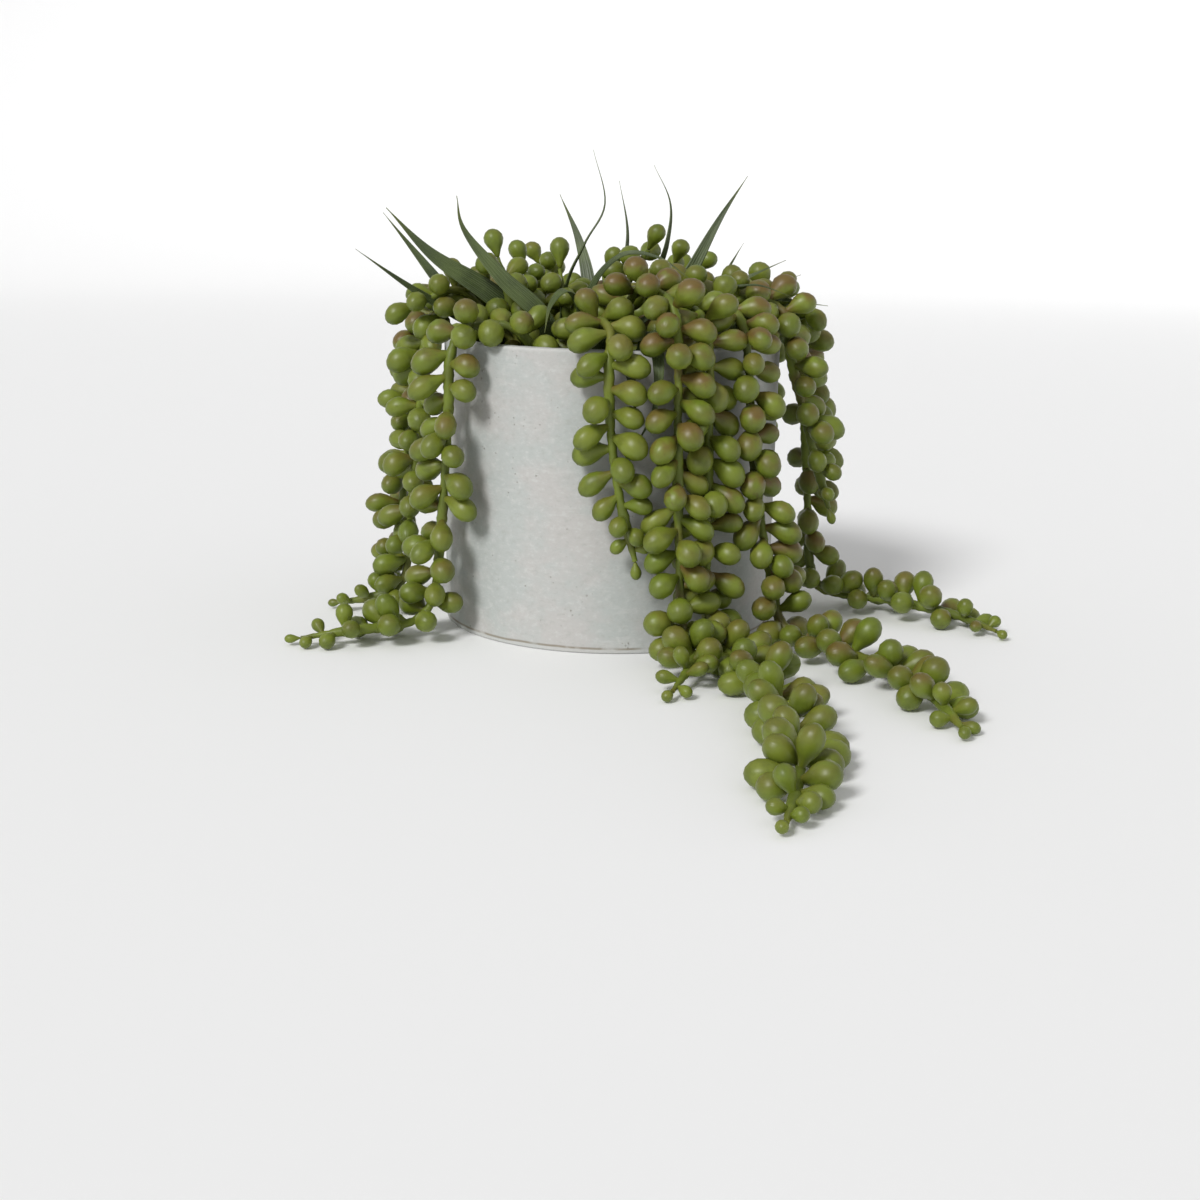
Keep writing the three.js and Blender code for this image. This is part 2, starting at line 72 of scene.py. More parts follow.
Inputs = Optional[dict[Union[int, str], Any]]
"""Values or sockets for a node's inputs, by place, identifier or name."""


class Sock:
    """An output socket that takes part in ordinary arithmetic, each step adding a Math node."""

    def __init__(self, canvas: "Canvas", node: bpy.types.Node, key: Union[int, str] = 0) -> None:
        """Wraps one output of a node.

        Args:
            canvas: The canvas that the node belongs to.
            node: The node.
            key: The output's place, identifier or name.
        """
        self.canvas = canvas
        self.node = node
        self.socket = find_socket(node.outputs, key)

    def out(self, key: Union[int, str]) -> "Sock":
        """Another output of the same node."""
        return Sock(self.canvas, self.node, key)

    def math(self, operation: str, *values: Any) -> "Sock":
        """A Math node on this value and others.

        Args:
            operation: The Math node's operation.
            values: Further numbers or sockets, in the node's own order.

        Returns:
            The node's result.
        """
        inputs = dict(enumerate((self, *values)))
        return self.canvas.node("ShaderNodeMath", {"operation": operation}, inputs)

    def reversed_math(self, operation: str, value: Any) -> "Sock":
        """A Math node with another value in front of this one."""
        return self.canvas.node("ShaderNodeMath", {"operation": operation}, {0: value, 1: self})

    def __add__(self, other: Any) -> "Sock":
        """Sum."""
        return self.math("ADD", other)

    def __radd__(self, other: Any) -> "Sock":
        """Sum with a number in front."""
        return self.reversed_math("ADD", other)

    def __sub__(self, other: Any) -> "Sock":
        """Difference."""
        return self.math("SUBTRACT", other)

    def __rsub__(self, other: Any) -> "Sock":
        """Difference from a number in front."""
        return self.reversed_math("SUBTRACT", other)

    def __mul__(self, other: Any) -> "Sock":
        """Product."""
        return self.math("MULTIPLY", other)

    def __rmul__(self, other: Any) -> "Sock":
        """Product with a number in front."""
        return self.reversed_math("MULTIPLY", other)

    def step(self, low: float, high: float) -> "Sock":
        """Runs smoothly from 0 at low to 1 at high.

        Args:
            low: Value that gives 0. It may be the larger one.
            high: Value that gives 1.

        Returns:
            The eased value.
        """
        inputs = {"Value": self, "From Min": low, "From Max": high, "To Min": 0.0, "To Max": 1.0}
        if low > high:
            inputs.update({"From Min": high, "From Max": low, "To Min": 1.0, "To Max": 0.0})
        return self.canvas.node("ShaderNodeMapRange", {"interpolation_type": "SMOOTHSTEP"}, inputs)


def find_socket(sockets: Any, key: Union[int, str]) -> bpy.types.NodeSocket:
    """Finds a socket by its place, its identifier or its name.

    Args:
        sockets: A node's inputs or outputs.
        key: What to look for.

    Returns:
        The socket.
    """
    if isinstance(key, int):
        return sockets[key]
    usable = [socket for socket in sockets if socket.enabled]
    for socket in usable:
        if socket.identifier == key:
            return socket
    return next(socket for socket in usable if socket.name == key)


class Canvas:
    """Lays nodes in one tree, of a material or of a modifier."""

    def __init__(self, tree: bpy.types.NodeTree) -> None:
        """Takes the tree over and empties it."""
        self.tree = tree
        tree.nodes.clear()

    def add(
        self, kind: str, settings: Optional[dict[str, Any]] = None, inputs: Inputs = None
    ) -> bpy.types.Node:
        """Adds a node.

        Args:
            kind: The node's type.
            settings: Its own settings, made before its sockets are read. "curve" is the points of a float
                curve.
            inputs: Values or sockets for its inputs, by place, identifier or name.

        Returns:
            The node.
        """
        node = self.tree.nodes.new(kind)
        for name, value in (settings or {}).items():
            if name == "curve":
                self._set_curve(node.mapping, value)
            else:
                setattr(node, name, value)
        for key, value in (inputs or {}).items():
            self.feed(node, key, value)
        return node

    def node(
        self,
        kind: str,
        settings: Optional[dict[str, Any]] = None,
        inputs: Inputs = None,
        output: Union[int, str] = 0,
    ) -> Sock:
        """Adds a node, as add does, and takes one of its outputs.

        Args:
            kind: The node's type.
            settings: Its own settings.
            inputs: Values or sockets for its inputs.
            output: The output to hand back.

        Returns:
            The chosen output.
        """
        return Sock(self, self.add(kind, settings, inputs), output)

    def feed(self, node: bpy.types.Node, key: Union[int, str], value: Any) -> None:
        """Links a socket to an input or sets the input's own value.

        Args:
            node: The node that takes the value.
            key: The input's place, identifier or name.
            value: A socket, or a plain value.
        """
        socket = find_socket(node.inputs, key)
        if isinstance(value, Sock):
            self.tree.links.new(value.socket, socket)
        elif socket.type == "RGBA":
            socket.default_value = (*value[:3], 1.0)
        else:
            socket.default_value = value

    @staticmethod
    def _set_curve(mapping: bpy.types.CurveMapping, points: Sequence[tuple[float, float]]) -> None:
        """Sets the points of a float curve."""
        curve = mapping.curves[0]
        while len(curve.points) < len(points):
            curve.points.new(0.5, 0.5)
        for point, place in zip(curve.points, points):
            point.location = place
        mapping.update()

    def place(self) -> Sock:
        """The shaded point in the object's own axes."""
        return self.node("ShaderNodeTexCoord", output="Object")

    def uv(self) -> Sock:
        """The piece's own UV map."""
        return self.node("ShaderNodeUVMap", {"uv_map": "UVMap"})

    def attribute(self, name: str) -> Sock:
        """A number stored on the mesh."""
        return self.node("ShaderNodeAttribute", {"attribute_name": name}, output="Fac")

    def split(self, vector: Sock) -> tuple[Sock, Sock, Sock]:
        """The three parts of a vector."""
        parts = self.node("ShaderNodeSeparateXYZ", inputs={0: vector})
        return parts.out(0), parts.out(1), parts.out(2)

    def join(self, x: Any, y: Any, z: Any) -> Sock:
        """A vector from its three parts."""
        return self.node("ShaderNodeCombineXYZ", inputs={0: x, 1: y, 2: z})

    def stretch(self, vector: Sock, scale: Sequence[float]) -> Sock:
        """A vector with each part scaled on its own."""
        return self.node("ShaderNodeMapping", inputs={"Vector": vector, "Scale": scale})

    def grain(self, vector: Sock, scale: float, detail: float = 4.0, roughness: float = 0.55) -> Sock:
        """Cloudy noise from 0 to 1.

        Args:
            vector: Where it is read.
            scale: Lumps to the metre, or to the unit of the vector.
            detail: Octaves.
            roughness: Weight of the finer ones.

        Returns:
            The noise value.
        """
        inputs = {"Vector": vector, "Scale": scale, "Detail": detail, "Roughness": roughness}
        return self.node("ShaderNodeTexNoise", inputs=inputs)

    def blend(self, share: Any, first: Any, second: Any) -> Sock:
        """Mixes two colours.

        Args:
            share: Weight of the second colour.
            first: A colour or a socket.
            second: A colour or a socket.

        Returns:
            The mixed colour.
        """
        inputs = {"Factor_Float": share, "A_Color": first, "B_Color": second}
        return self.node("ShaderNodeMix", {"data_type": "RGBA"}, inputs, "Result_Color")

    def bump(self, height: Sock, strength: float, distance: float) -> Sock:
        """A bumped normal.

        Args:
            height: Height from 0 to 1.
            strength: Strength of the bump.
            distance: Height of one unit, in metres.

        Returns:
            The normal.
        """
        inputs = {"Height": height, "Strength": strength, "Distance": distance}
        return self.node("ShaderNodeBump", inputs=inputs)

    def shade(self, inputs: Inputs) -> None:
        """Ends a material with a Principled shader that takes these inputs."""
        shader = self.node("ShaderNodeBsdfPrincipled", inputs=inputs)
        self.add("ShaderNodeOutputMaterial", inputs={"Surface": shader})


def new_material(name: str) -> tuple[bpy.types.Material, Canvas]:
    """Makes an empty node material.

    Args:
        name: The material's name.

    Returns:
        The material and the canvas of its tree.
    """
    material = bpy.data.materials.new(name)
    material.use_nodes = True
    return material, Canvas(material.node_tree)


# ---------------------------------------------------------------- finishes

Colour = tuple[float, float, float]


def srgb(red: int, green: int, blue: int) -> Colour:
    """A screen colour, 0 to 255 each, as the linear colour that shaders take."""
    return tuple(((v / 255 + 0.055) / 1.055) ** 2.4 if v > 10 else v / 3294.6 for v in (red, green, blue))


@dataclass(frozen=True)
class CementFinish:
    """Cool grey cast cement, finely mottled, with faint sideways dabs of a pale wash, scuffs, and pits
    darkened with painted shade.
    """

    height: float
    body: Colour = srgb(184, 182, 179)
    cool: Colour = srgb(178, 182, 179)
    pale: Colour = srgb(196, 197, 194)
    dull: Colour = srgb(166, 167, 162)
    # Darker colour of the pits: painted shade.
    pit_shade: Colour = srgb(132, 129, 120)
    band: Colour = srgb(128, 118, 100)

    def material(self) -> bpy.types.Material:
        """Builds the material.

        Returns:
            The material.
        """
        material, canvas = new_material("brushed_cement")
        place = canvas.place()
        z = canvas.split(place)[2]
        cloud = canvas.grain(canvas.stretch(place, (1.0, 1.0, 1.4)), 34.0, 5.0, 0.62)
        colour = canvas.blend(cloud.step(0.38, 0.62), self.body, self.cool)
        mottle = canvas.grain(canvas.stretch(place, (1.0, 1.0, 1.5)), 330.0, 5.0, 0.72)
        colour = canvas.blend(mottle.step(0.50, 0.70) * 0.62, colour, self.pale)
        colour = canvas.blend(mottle.step(0.48, 0.30) * 0.50, colour, self.dull)
        dabs = canvas.grain(canvas.stretch(place, (110.0, 110.0, 620.0)), 1.0, 4.0, 0.65)
        patches = canvas.grain(canvas.stretch(place, (50.0, 50.0, 90.0)), 1.0, 4.0, 0.7)
        brushed = dabs.step(0.50, 0.68) * patches.step(0.46, 0.64)
        colour = canvas.blend(brushed * 0.50, colour, self.pale)
        worn = canvas.grain(canvas.stretch(place, (90.0, 90.0, 170.0)), 1.0, 6.0, 0.75)
        scuffs = worn.step(0.60, 0.69)
        colour = canvas.blend(scuffs * 0.55, colour, self.pale)
        cells = {"Vector": place, "Scale": 480.0}
        pores = canvas.node("ShaderNodeTexVoronoi", inputs=cells, output="Distance")
        chosen = canvas.grain(place, 150.0, 2.0).step(0.58, 0.68)
        pits = pores.step(0.26, 0.10) * chosen
        # The pits are sunk by the bump below; their darker colour is painted shade.
        colour = canvas.blend(pits * 0.60, colour, self.pit_shade)
        edge = z.step(self.height - 1.8 * MM, self.height - 0.4 * MM)
        colour = canvas.blend(edge * 0.45, colour, self.pale)
        wander = (canvas.grain(place, 60.0, 2.0) - 0.5) * (0.8 * MM)
        low = z + wander
        line = low.step(1.5 * MM, 2.0 * MM) * low.step(2.9 * MM, 2.3 * MM)
        colour = canvas.blend(low.step(2.1 * MM, 1.5 * MM) * 0.55, colour, self.pale)
        broken = canvas.grain(place, 90.0, 3.0).step(0.30, 0.52)
        colour = canvas.blend(line * broken * 0.75, colour, self.band)
        height = mottle * 0.55 + dabs * 0.35 + canvas.grain(place, 1100.0, 3.0) * 0.3 - pits * 1.3
        normal = canvas.bump(height, 0.5, 0.3 * MM)
        rough = 0.93 - scuffs * 0.12
        canvas.shade({"Base Color": colour, "Roughness": rough, "Normal": normal, "Specular IOR Level": 0.22})
        return material


@dataclass(frozen=True)
class SoilFinish:
    """Dark, crumbly filler."""

    dark: Colour = srgb(30, 25, 21)
    light: Colour = srgb(74, 60, 46)

    def material(self) -> bpy.types.Material:
        """Builds the material.

        Returns:
            The material.
        """
        material, canvas = new_material("potting_soil")
        place = canvas.place()
        crumbs = canvas.grain(place, 320.0, 5.0, 0.7)
        colour = canvas.blend(crumbs.step(0.42, 0.74), self.dark, self.light)
        normal = canvas.bump(crumbs, 0.9, 1.2 * MM)
        canvas.shade({"Base Color": colour, "Roughness": 0.95, "Normal": normal, "Specular IOR Level": 0.2})
        return material


@dataclass(frozen=True)
class PearlFinish:
    """Satin green leaf skin, deeper at the neck and blushed red-brown on some tips and upper sides."""

    green: Colour = srgb(104, 120, 32)
    deep: Colour = srgb(78, 91, 26)
    fresh: Colour = srgb(120, 133, 44)
    blush: Colour = srgb(104, 80, 40)
    bruise: Colour = srgb(84, 64, 40)
    scar: Colour = srgb(52, 40, 24)

    def material(self) -> bpy.types.Material:
        """Builds the material.

        Returns:
            The material.
        """
        material, canvas = new_material("pearl_leaf")
        place = canvas.place()
        around, along, _ = canvas.split(canvas.uv())
        tint = canvas.attribute("tint")
        blush = canvas.attribute("blush")
        mottle = canvas.grain(place, 150.0, 3.0, 0.55)
        colour = canvas.blend(tint, self.green, self.fresh)
        colour = canvas.blend(mottle.step(0.45, 0.72) * 0.55, colour, self.deep)
        colour = canvas.blend(along.step(0.42, 0.08) * 0.45, colour, self.deep)
        cloud = canvas.grain(place, 95.0, 2.0)
        up = canvas.split(canvas.node("ShaderNodeNewGeometry", output="Normal"))[2]
        top = up.step(-0.6, 0.9) * 0.7 + along.step(0.45, 1.0) * 0.7
        red = (top * blush * cloud.step(0.28, 0.60) * 1.9).math("MINIMUM", 0.88)
        colour = canvas.blend(red, colour, self.blush)
        smudge = canvas.grain(place, 260.0, 3.0).step(0.60, 0.74) * blush
        colour = canvas.blend(smudge * 0.5, colour, self.bruise)
        scar = along.step(0.965, 0.99)
        colour = canvas.blend(scar * 0.75, colour, self.scar)
        creases = (around * (2 * math.pi * 9.0) + cloud * 5.0).math("SINE") * 0.5 + 0.5
        height = creases * 0.30 * along.step(1.0, 0.55) + mottle * 0.5
        height = height + canvas.grain(place, 900.0, 2.0) * 0.12
        normal = canvas.bump(height, 0.34, 0.4 * MM)
        rough = 0.36 + mottle * 0.16
        canvas.shade({
            "Base Color": colour, "Roughness": rough, "Normal": normal, "Specular IOR Level": 0.42,
            "Coat Weight": 0.08, "Coat Roughness": 0.35,
        })
        return material


@dataclass(frozen=True)
class StemFinish:
    """Smooth green stem with browner stretches and fine lengthwise streaks."""

    green: Colour = srgb(112, 126, 40)
    deep: Colour = srgb(80, 90, 32)
    brown: Colour = srgb(102, 80, 44)

    def material(self) -> bpy.types.Material:
        """Builds the material.

        Returns:
            The material.
        """
        material, canvas = new_material("stem")
        place = canvas.place()
        cloud = canvas.grain(place, 60.0, 3.0)
        fine = canvas.grain(place, 420.0, 4.0, 0.6)
        colour = canvas.blend(cloud.step(0.35, 0.65) * 0.8, self.green, self.deep)
        brown = canvas.grain(place, 34.0, 2.0).step(0.52, 0.70) * canvas.attribute("blush")
        colour = canvas.blend(brown, colour, self.brown)
        normal = canvas.bump(fine * 0.7 + cloud * 0.3, 0.5, 0.35 * MM)
        rough = 0.42 + fine * 0.2
        canvas.shade({"Base Color": colour, "Roughness": rough, "Normal": normal, "Specular IOR Level": 0.4})
        return material


@dataclass(frozen=True)
class GrassFinish:
    """Dark green blade with pale lengthwise veins and a waxy gloss."""

    dark: Colour = srgb(54, 68, 34)
    mid: Colour = srgb(80, 95, 47)
    vein: Colour = srgb(116, 127, 82)
    tip: Colour = srgb(104, 112, 50)

    def material(self) -> bpy.types.Material:
        """Builds the material.

        Returns:
            The material.
        """
        material, canvas = new_material("grass_blade")
        across, along, _ = canvas.split(canvas.uv())
        place = canvas.place()
        cloud = canvas.grain(place, 70.0, 3.0)
        colour = canvas.blend(cloud.step(0.35, 0.68), self.dark, self.mid)
        streaks = canvas.grain(canvas.join(across * 46.0, along * 3.0, 0.0), 1.0, 3.0, 0.6)
        veins = (across * (2 * math.pi * 11.0) + streaks * 2.2).math("SINE") * 0.5 + 0.5
        fine = veins.step(0.62, 0.98)
        colour = canvas.blend(fine * 0.5, colour, self.vein)
        colour = canvas.blend(along.step(0.80, 1.0) * 0.7, colour, self.tip)
        colour = canvas.blend(streaks.step(0.55, 0.75) * 0.3, colour, self.dark)
        normal = canvas.bump(veins * 0.7 + streaks * 0.4, 0.5, 0.25 * MM)
        rough = 0.34 + streaks * 0.22
        canvas.shade({
            "Base Color": colour, "Roughness": rough, "Normal": normal, "Specular IOR Level": 0.5,
            "Coat Weight": 0.15, "Coat Roughness": 0.3,
        })
        return material


@dataclass(frozen=True)
class FloorFinish:
    """Plain pale matt floor."""

    colour: Colour = (0.90, 0.90, 0.90)

    def material(self) -> bpy.types.Material:
        """Builds the material.

        Returns:
            The material.
        """
        material, canvas = new_material("studio_floor")
        faint = canvas.grain(canvas.place(), 3.0, 2.0)
        colour = canvas.blend(faint * 0.03, self.colour, (0.8, 0.8, 0.8))
        canvas.shade({"Base Color": colour, "Roughness": 0.9, "Specular IOR Level": 0.1})
        return material


# ---------------------------------------------------------------- meshes


def make_mesh(name: str, points: np.ndarray, faces: Sequence[Sequence[int]]) -> bpy.types.Mesh:
    """Makes a smooth mesh whose faces look outwards.

    Args:
        name: The mesh's name.
        points: Vertices, one row each, in metres.
        faces: Vertex numbers of each face of a closed surface, all turning the same way.

    Returns:
        The mesh.
    """
    volume = 0.0
    for face in faces:
        first = points[face[0]]
        for second, third in zip(face[1:-1], face[2:]):
            volume += float(np.dot(first, np.cross(points[second], points[third])))
    ordered = [list(face) if volume > 0 else list(reversed(face)) for face in faces]
    mesh = bpy.data.meshes.new(name)
    mesh.from_pydata(points.tolist(), [], ordered)
    mesh.shade_smooth()
    return mesh


def show(name: str, mesh: bpy.types.Mesh) -> bpy.types.Object:
    """Puts a mesh in the scene as an object at the origin."""
    thing = bpy.data.objects.new(name, mesh)
    bpy.context.scene.collection.objects.link(thing)
    return thing


def bake_modifiers(thing: bpy.types.Object) -> bpy.types.Object:
    """Turns an object's modifiers into its own mesh.

    Args:
        thing: The object.

    Returns:
        The same object, with a plain mesh and no modifier.
    """
    graph = bpy.context.evaluated_depsgraph_get()
    mesh = bpy.data.meshes.new_from_object(thing.evaluated_get(graph), depsgraph=graph)
    thing.modifiers.clear()
    thing.data = mesh
    mesh.name = thing.name
    return thing


def declare(thing: bpy.types.Object, slot: Slot, *nodes: str) -> None:
    """Attaches a finished piece to what it rides on, hides the nodes that it stands for, and reports it.

    Args:
        thing: The piece.
        slot: Not used.
        nodes: The nodes that it stands for.
    """
    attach(thing, BODY)
    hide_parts(*nodes)
    log.info("%s: %d faces", thing.name, len(thing.data.polygons))


class Revolved:
    """A closed surface of revolution around the Z axis, built ring by ring."""

    def __init__(self, profile: Sequence[tuple[float, float]], segments: int) -> None:
        """Takes the profile.

        Args:
            profile: Radius and height of each ring, from one pole to the other, both on the axis.
            segments: Points to a ring.
        """
        self.profile = profile
        self.segments = segments

    def build(self, name: str, moved: Callable[[np.ndarray], np.ndarray]) -> bpy.types.Mesh:
        """Builds the mesh.

        Args:
            name: The mesh's name.
            moved: Gives the final place of each point, for small unevenness.

        Returns:
            The mesh.
        """
        n = self.segments
        angles = 2 * math.pi * np.arange(n) / n
        rings = [
            np.stack([r * np.cos(angles), r * np.sin(angles), np.full(n, z)], axis=1)
            for r, z in self.profile[1:-1]
        ]
        poles = np.array([[0.0, 0.0, self.profile[0][1]], [0.0, 0.0, self.profile[-1][1]]])
        points = np.concatenate([*rings, poles])
        last = len(rings) - 1
        first_pole, last_pole = len(points) - 2, len(points) - 1
        faces: list[list[int]] = []
        for i in range(n):
            j = (i + 1) % n
            faces.append([first_pole, j, i])
            for ring in range(last):
                faces.append([ring * n + i, ring * n + j, (ring + 1) * n + j, (ring + 1) * n + i])
            faces.append([last * n + i, last * n + j, last_pole])
        return make_mesh(name, moved(points), faces)


def sampled(start: tuple[float, float], end: tuple[float, float], steps: int) -> list[tuple[float, float]]:
    """Evenly spaced profile points after start, up to end."""
    return [
        (start[0] + (end[0] - start[0]) * i / steps, start[1] + (end[1] - start[1]) * i / steps)
        for i in range(1, steps + 1)
    ]


def unevenness(points: np.ndarray, scale: float, seed: float) -> np.ndarray:
    """Smooth noise from about -1 to 1 at each point.

    Args:
        points: Where it is read.
        scale: Lumps to the metre.
        seed: Shifts the pattern.

    Returns:
        One number to each point.
    """
    shift = Vector((seed, seed * 0.7, -seed))
    return np.array([noise.noise(Vector(point) * scale + shift) for point in points])


# ---------------------------------------------------------------- geometry node helpers


def new_tree(name: str, inputs: dict[str, str]) -> tuple[bpy.types.NodeTree, Canvas, Sock]:
    """Starts a Geometry Nodes tree that takes a geometry and other inputs.

    Args:
        name: The tree's name.
        inputs: The socket type of each further input, by name.

    Returns:
        The tree, its canvas and the geometry that it is given.
    """
    tree = bpy.data.node_groups.new(name, "GeometryNodeTree")
    for label, kind in {"Geometry": "NodeSocketGeometry", **inputs}.items():
        tree.interface.new_socket(label, in_out="INPUT", socket_type=kind)
    tree.interface.new_socket("Geometry", in_out="OUTPUT", socket_type="NodeSocketGeometry")
    canvas = Canvas(tree)
    return tree, canvas, canvas.node("NodeGroupInput", output="Geometry")


def end_tree(canvas: Canvas, geometry: Sock, material: bpy.types.Material) -> None:
    """Gives a tree's geometry its material and hands it over."""
    dressed = canvas.node("GeometryNodeSetMaterial", inputs={"Geometry": geometry, "Material": material})
    canvas.add("NodeGroupOutput", inputs={"Geometry": dressed})


def add_tree(thing: bpy.types.Object, tree: bpy.types.NodeTree, values: dict[str, Any]) -> None:
    """Gives an object a Geometry Nodes modifier.

    Args:
        thing: The object.
        tree: The modifier's tree.
        values: The tree's inputs by name.
    """
    modifier = thing.modifiers.new(tree.name, "NODES")
    modifier.node_group = tree
    for item in tree.interface.items_tree:
        if item.item_type == "SOCKET" and item.in_out == "INPUT" and item.name in values:
            modifier[item.identifier] = values[item.name]


def set_attribute(mesh: bpy.types.Mesh, name: str, values: np.ndarray) -> None:
    """Stores a number or a vector at each vertex.

    Args:
        mesh: The mesh.
        name: The attribute's name.
        values: One row for each vertex.
    """
    vector = values.ndim == 2
    layer = mesh.attributes.new(name, "FLOAT_VECTOR" if vector else "FLOAT", "POINT")
    numbers = np.ascontiguousarray(values, dtype=np.float32).ravel()
    layer.data.foreach_set("vector" if vector else "value", numbers)


def named(canvas: Canvas, name: str, kind: str = "FLOAT") -> Sock:
    """Reads a stored attribute inside a Geometry Nodes tree."""
    return canvas.node("GeometryNodeInputNamedAttribute", {"data_type": kind}, {"Name": name}, "Attribute")


# ---------------------------------------------------------------- pot and soil


@dataclass
class Pot:
    """The cement pot: a straight round cup with a flat, softly broken rim."""

    wall: float = 6.0 * MM
    floor: float = 9.0 * MM
    bevel: float = 0.8 * MM
    segments: int = 192
    wall_rows: int = 56
    radius: float = field(init=False)
    height: float = field(init=False)
    foot_radius: float = field(init=False)

    def __post_init__(self) -> None:
        """Reads the pot's size from the frame."""
        low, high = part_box("pot")
        self.radius = (high[0] - low[0]) / 2
        self.height = high[2]
        self.foot_radius = self.radius - 0.5 * MM

    @property
    def inner_radius(self) -> float:
        """Radius of the inside wall."""
        return self.radius - self.wall

    def profile(self) -> list[tuple[float, float]]:
        """Radius and height from the middle of the underside, over the rim, to the middle of the inside."""
        foot, top, b = self.foot_radius, self.height, self.bevel
        outside, inside = self.radius, self.inner_radius
        points = [(0.0, 0.0), *sampled((0.0, 0.0), (foot - 2 * b, 0.0), 5), (foot - b, 0.0)]
        points += [(foot - 0.3 * b, 0.25 * b), (foot, b)]
        points += sampled((foot, b), (outside, top - 2 * b), self.wall_rows)
        points += [(outside, top - b), (outside - 0.3 * b, top - 0.3 * b), (outside - b, top)]
        points += sampled((outside - b, top), (inside + b, top), 3)
        points += [(inside + 0.3 * b, top - 0.3 * b), (inside, top - b)]
        points += sampled((inside, top - b), (inside, self.floor), 12)
        return [*points, (0.0, self.floor)]

    def weathered(self, points: np.ndarray) -> np.ndarray:
        """Makes the outside and the rim slightly uneven, and never larger than the pot.

        Args:
            points: The exact points.

        Returns:
            The points as cast.
        """
        moved = points.copy()
        radius = np.hypot(points[:, 0], points[:, 1])
        safe = np.maximum(radius, 1e-6)
        outside = np.clip((radius - self.inner_radius - 1.5 * MM) / (3 * MM), 0, 1)
        rows = points * np.array([1.0, 1.0, 4.0])
        dent = 0.5 + 0.5 * unevenness(points, 24.0, 3.1)
        dent = dent + 0.45 * (0.5 + 0.5 * unevenness(rows, 90.0, 8.3))
        inwards = outside * 0.30 * MM * dent
        moved[:, :2] *= (1 - inwards / safe)[:, None]
        high = np.clip((points[:, 2] - self.height + 8 * MM) / (8 * MM), 0, 1)
        sag = 0.55 * MM * (0.5 + 0.5 * unevenness(points * np.array([1.0, 1.0, 0.0]), 26.0, 5.7))
        chips = 0.35 * MM * np.clip(unevenness(points, 210.0, 1.9) - 0.15, 0, 1)
        moved[:, 2] -= high * (sag + chips)
        return moved

    def build(self) -> None:
        mesh = Revolved(self.profile(), self.segments).build("cement_pot", self.weathered)
        thing = show("cement_pot", mesh)
        mesh.materials.append(CementFinish(self.height).material())
        declare(thing, Slot.POT, "pot")


@dataclass
class Soil:
    """The filler in the pot: a lumpy dome with crumbs on it."""

    pot: Pot
    edge_height: float = 104.0 * MM
    crown: float = 5.0 * MM
    gap: float = 0.3 * MM
    segments: int = 96
    rows: int = 26
    crumbs_per_square_metre: float = 90000.0
    crumb_size: float = 1.1 * MM

    def height_at(self, radius: Union[float, np.ndarray]) -> Union[float, np.ndarray]:
        """Height of the dome at a distance from the axis, before lumps."""
        return self.edge_height + self.crown * (1 - (radius / self.pot.inner_radius) ** 2)

    def lumpy(self, points: np.ndarray) -> np.ndarray:
        """Pushes the top up and down a little."""
        moved = points.copy()
        on_top = points[:, 2] > self.edge_height - 1 * MM
        lumps = unevenness(points, 95.0, 2.2) * 1.6 + unevenness(points, 310.0, 6.4) * 0.8 - 1.0
        moved[:, 2] += on_top * lumps * MM
        return moved

    def crumb_tree(self, material: bpy.types.Material) -> bpy.types.NodeTree:
        """Geometry nodes that strew small crumbs over the top and join them to the soil.

        Args:
            material: The finish of soil and crumbs.

        Returns:
            The tree.
        """
        tree, canvas, given = new_tree("strew_crumbs", {
            "Density": "NodeSocketFloat", "Lowest": "NodeSocketFloat", "Size": "NodeSocketFloat",
            "Seed": "NodeSocketInt",
        })
        height = canvas.split(canvas.node("GeometryNodeInputPosition"))[2]
        top = height.math("GREATER_THAN", given.out("Lowest"))
        points = canvas.node("GeometryNodeDistributePointsOnFaces", inputs={
            "Mesh": given, "Selection": top, "Density": given.out("Density"), "Seed": given.out("Seed"),
        }, output="Points")
        crumb = canvas.node("GeometryNodeMeshIcoSphere", inputs={"Radius": 1.0, "Subdivisions": 1})
        turn = canvas.node("FunctionNodeRandomValue", {"data_type": "FLOAT_VECTOR"}, {
            "Min": (0.0, 0.0, 0.0), "Max": (6.28, 6.28, 6.28), "Seed": given.out("Seed"),
        })
        spread = canvas.node("FunctionNodeRandomValue", {"data_type": "FLOAT_VECTOR"}, {
            "Min": (0.35, 0.35, 0.25), "Max": (1.3, 1.0, 0.8), "Seed": given.out("Seed"),
        })
        size = canvas.node("ShaderNodeVectorMath", {"operation": "SCALE"}, {
            0: spread, "Scale": given.out("Size"),
        })
        strewn = canvas.node("GeometryNodeInstanceOnPoints", inputs={
            "Points": points, "Instance": crumb, "Rotation": turn, "Scale": size,
        })
        real = canvas.node("GeometryNodeRealizeInstances", inputs={"Geometry": strewn})
        both = canvas.node("GeometryNodeJoinGeometry", inputs={0: real})
        tree.links.new(given.socket, both.node.inputs[0])
        end_tree(canvas, both, material)
        return tree

    def build(self) -> None:
        edge = self.pot.inner_radius - self.gap
        base = self.pot.floor + self.gap
        rings = [edge * i / self.rows for i in range(self.rows, 0, -1)]
        top = [(radius, float(self.height_at(radius))) for radius in rings]
        profile = [(0.0, base), (edge, base), *top, (0.0, float(self.height_at(0.0)))]
        thing = show("potting_soil", Revolved(profile, self.segments).build("potting_soil", self.lumpy))
        tree = self.crumb_tree(SoilFinish().material())
        add_tree(thing, tree, {
            "Density": self.crumbs_per_square_metre, "Lowest": self.edge_height - 3 * MM,
            "Size": self.crumb_size, "Seed": 7,
        })
        declare(bake_modifiers(thing), Slot.SOIL, "soil")


# ---------------------------------------------------------------- leaf and stem trees

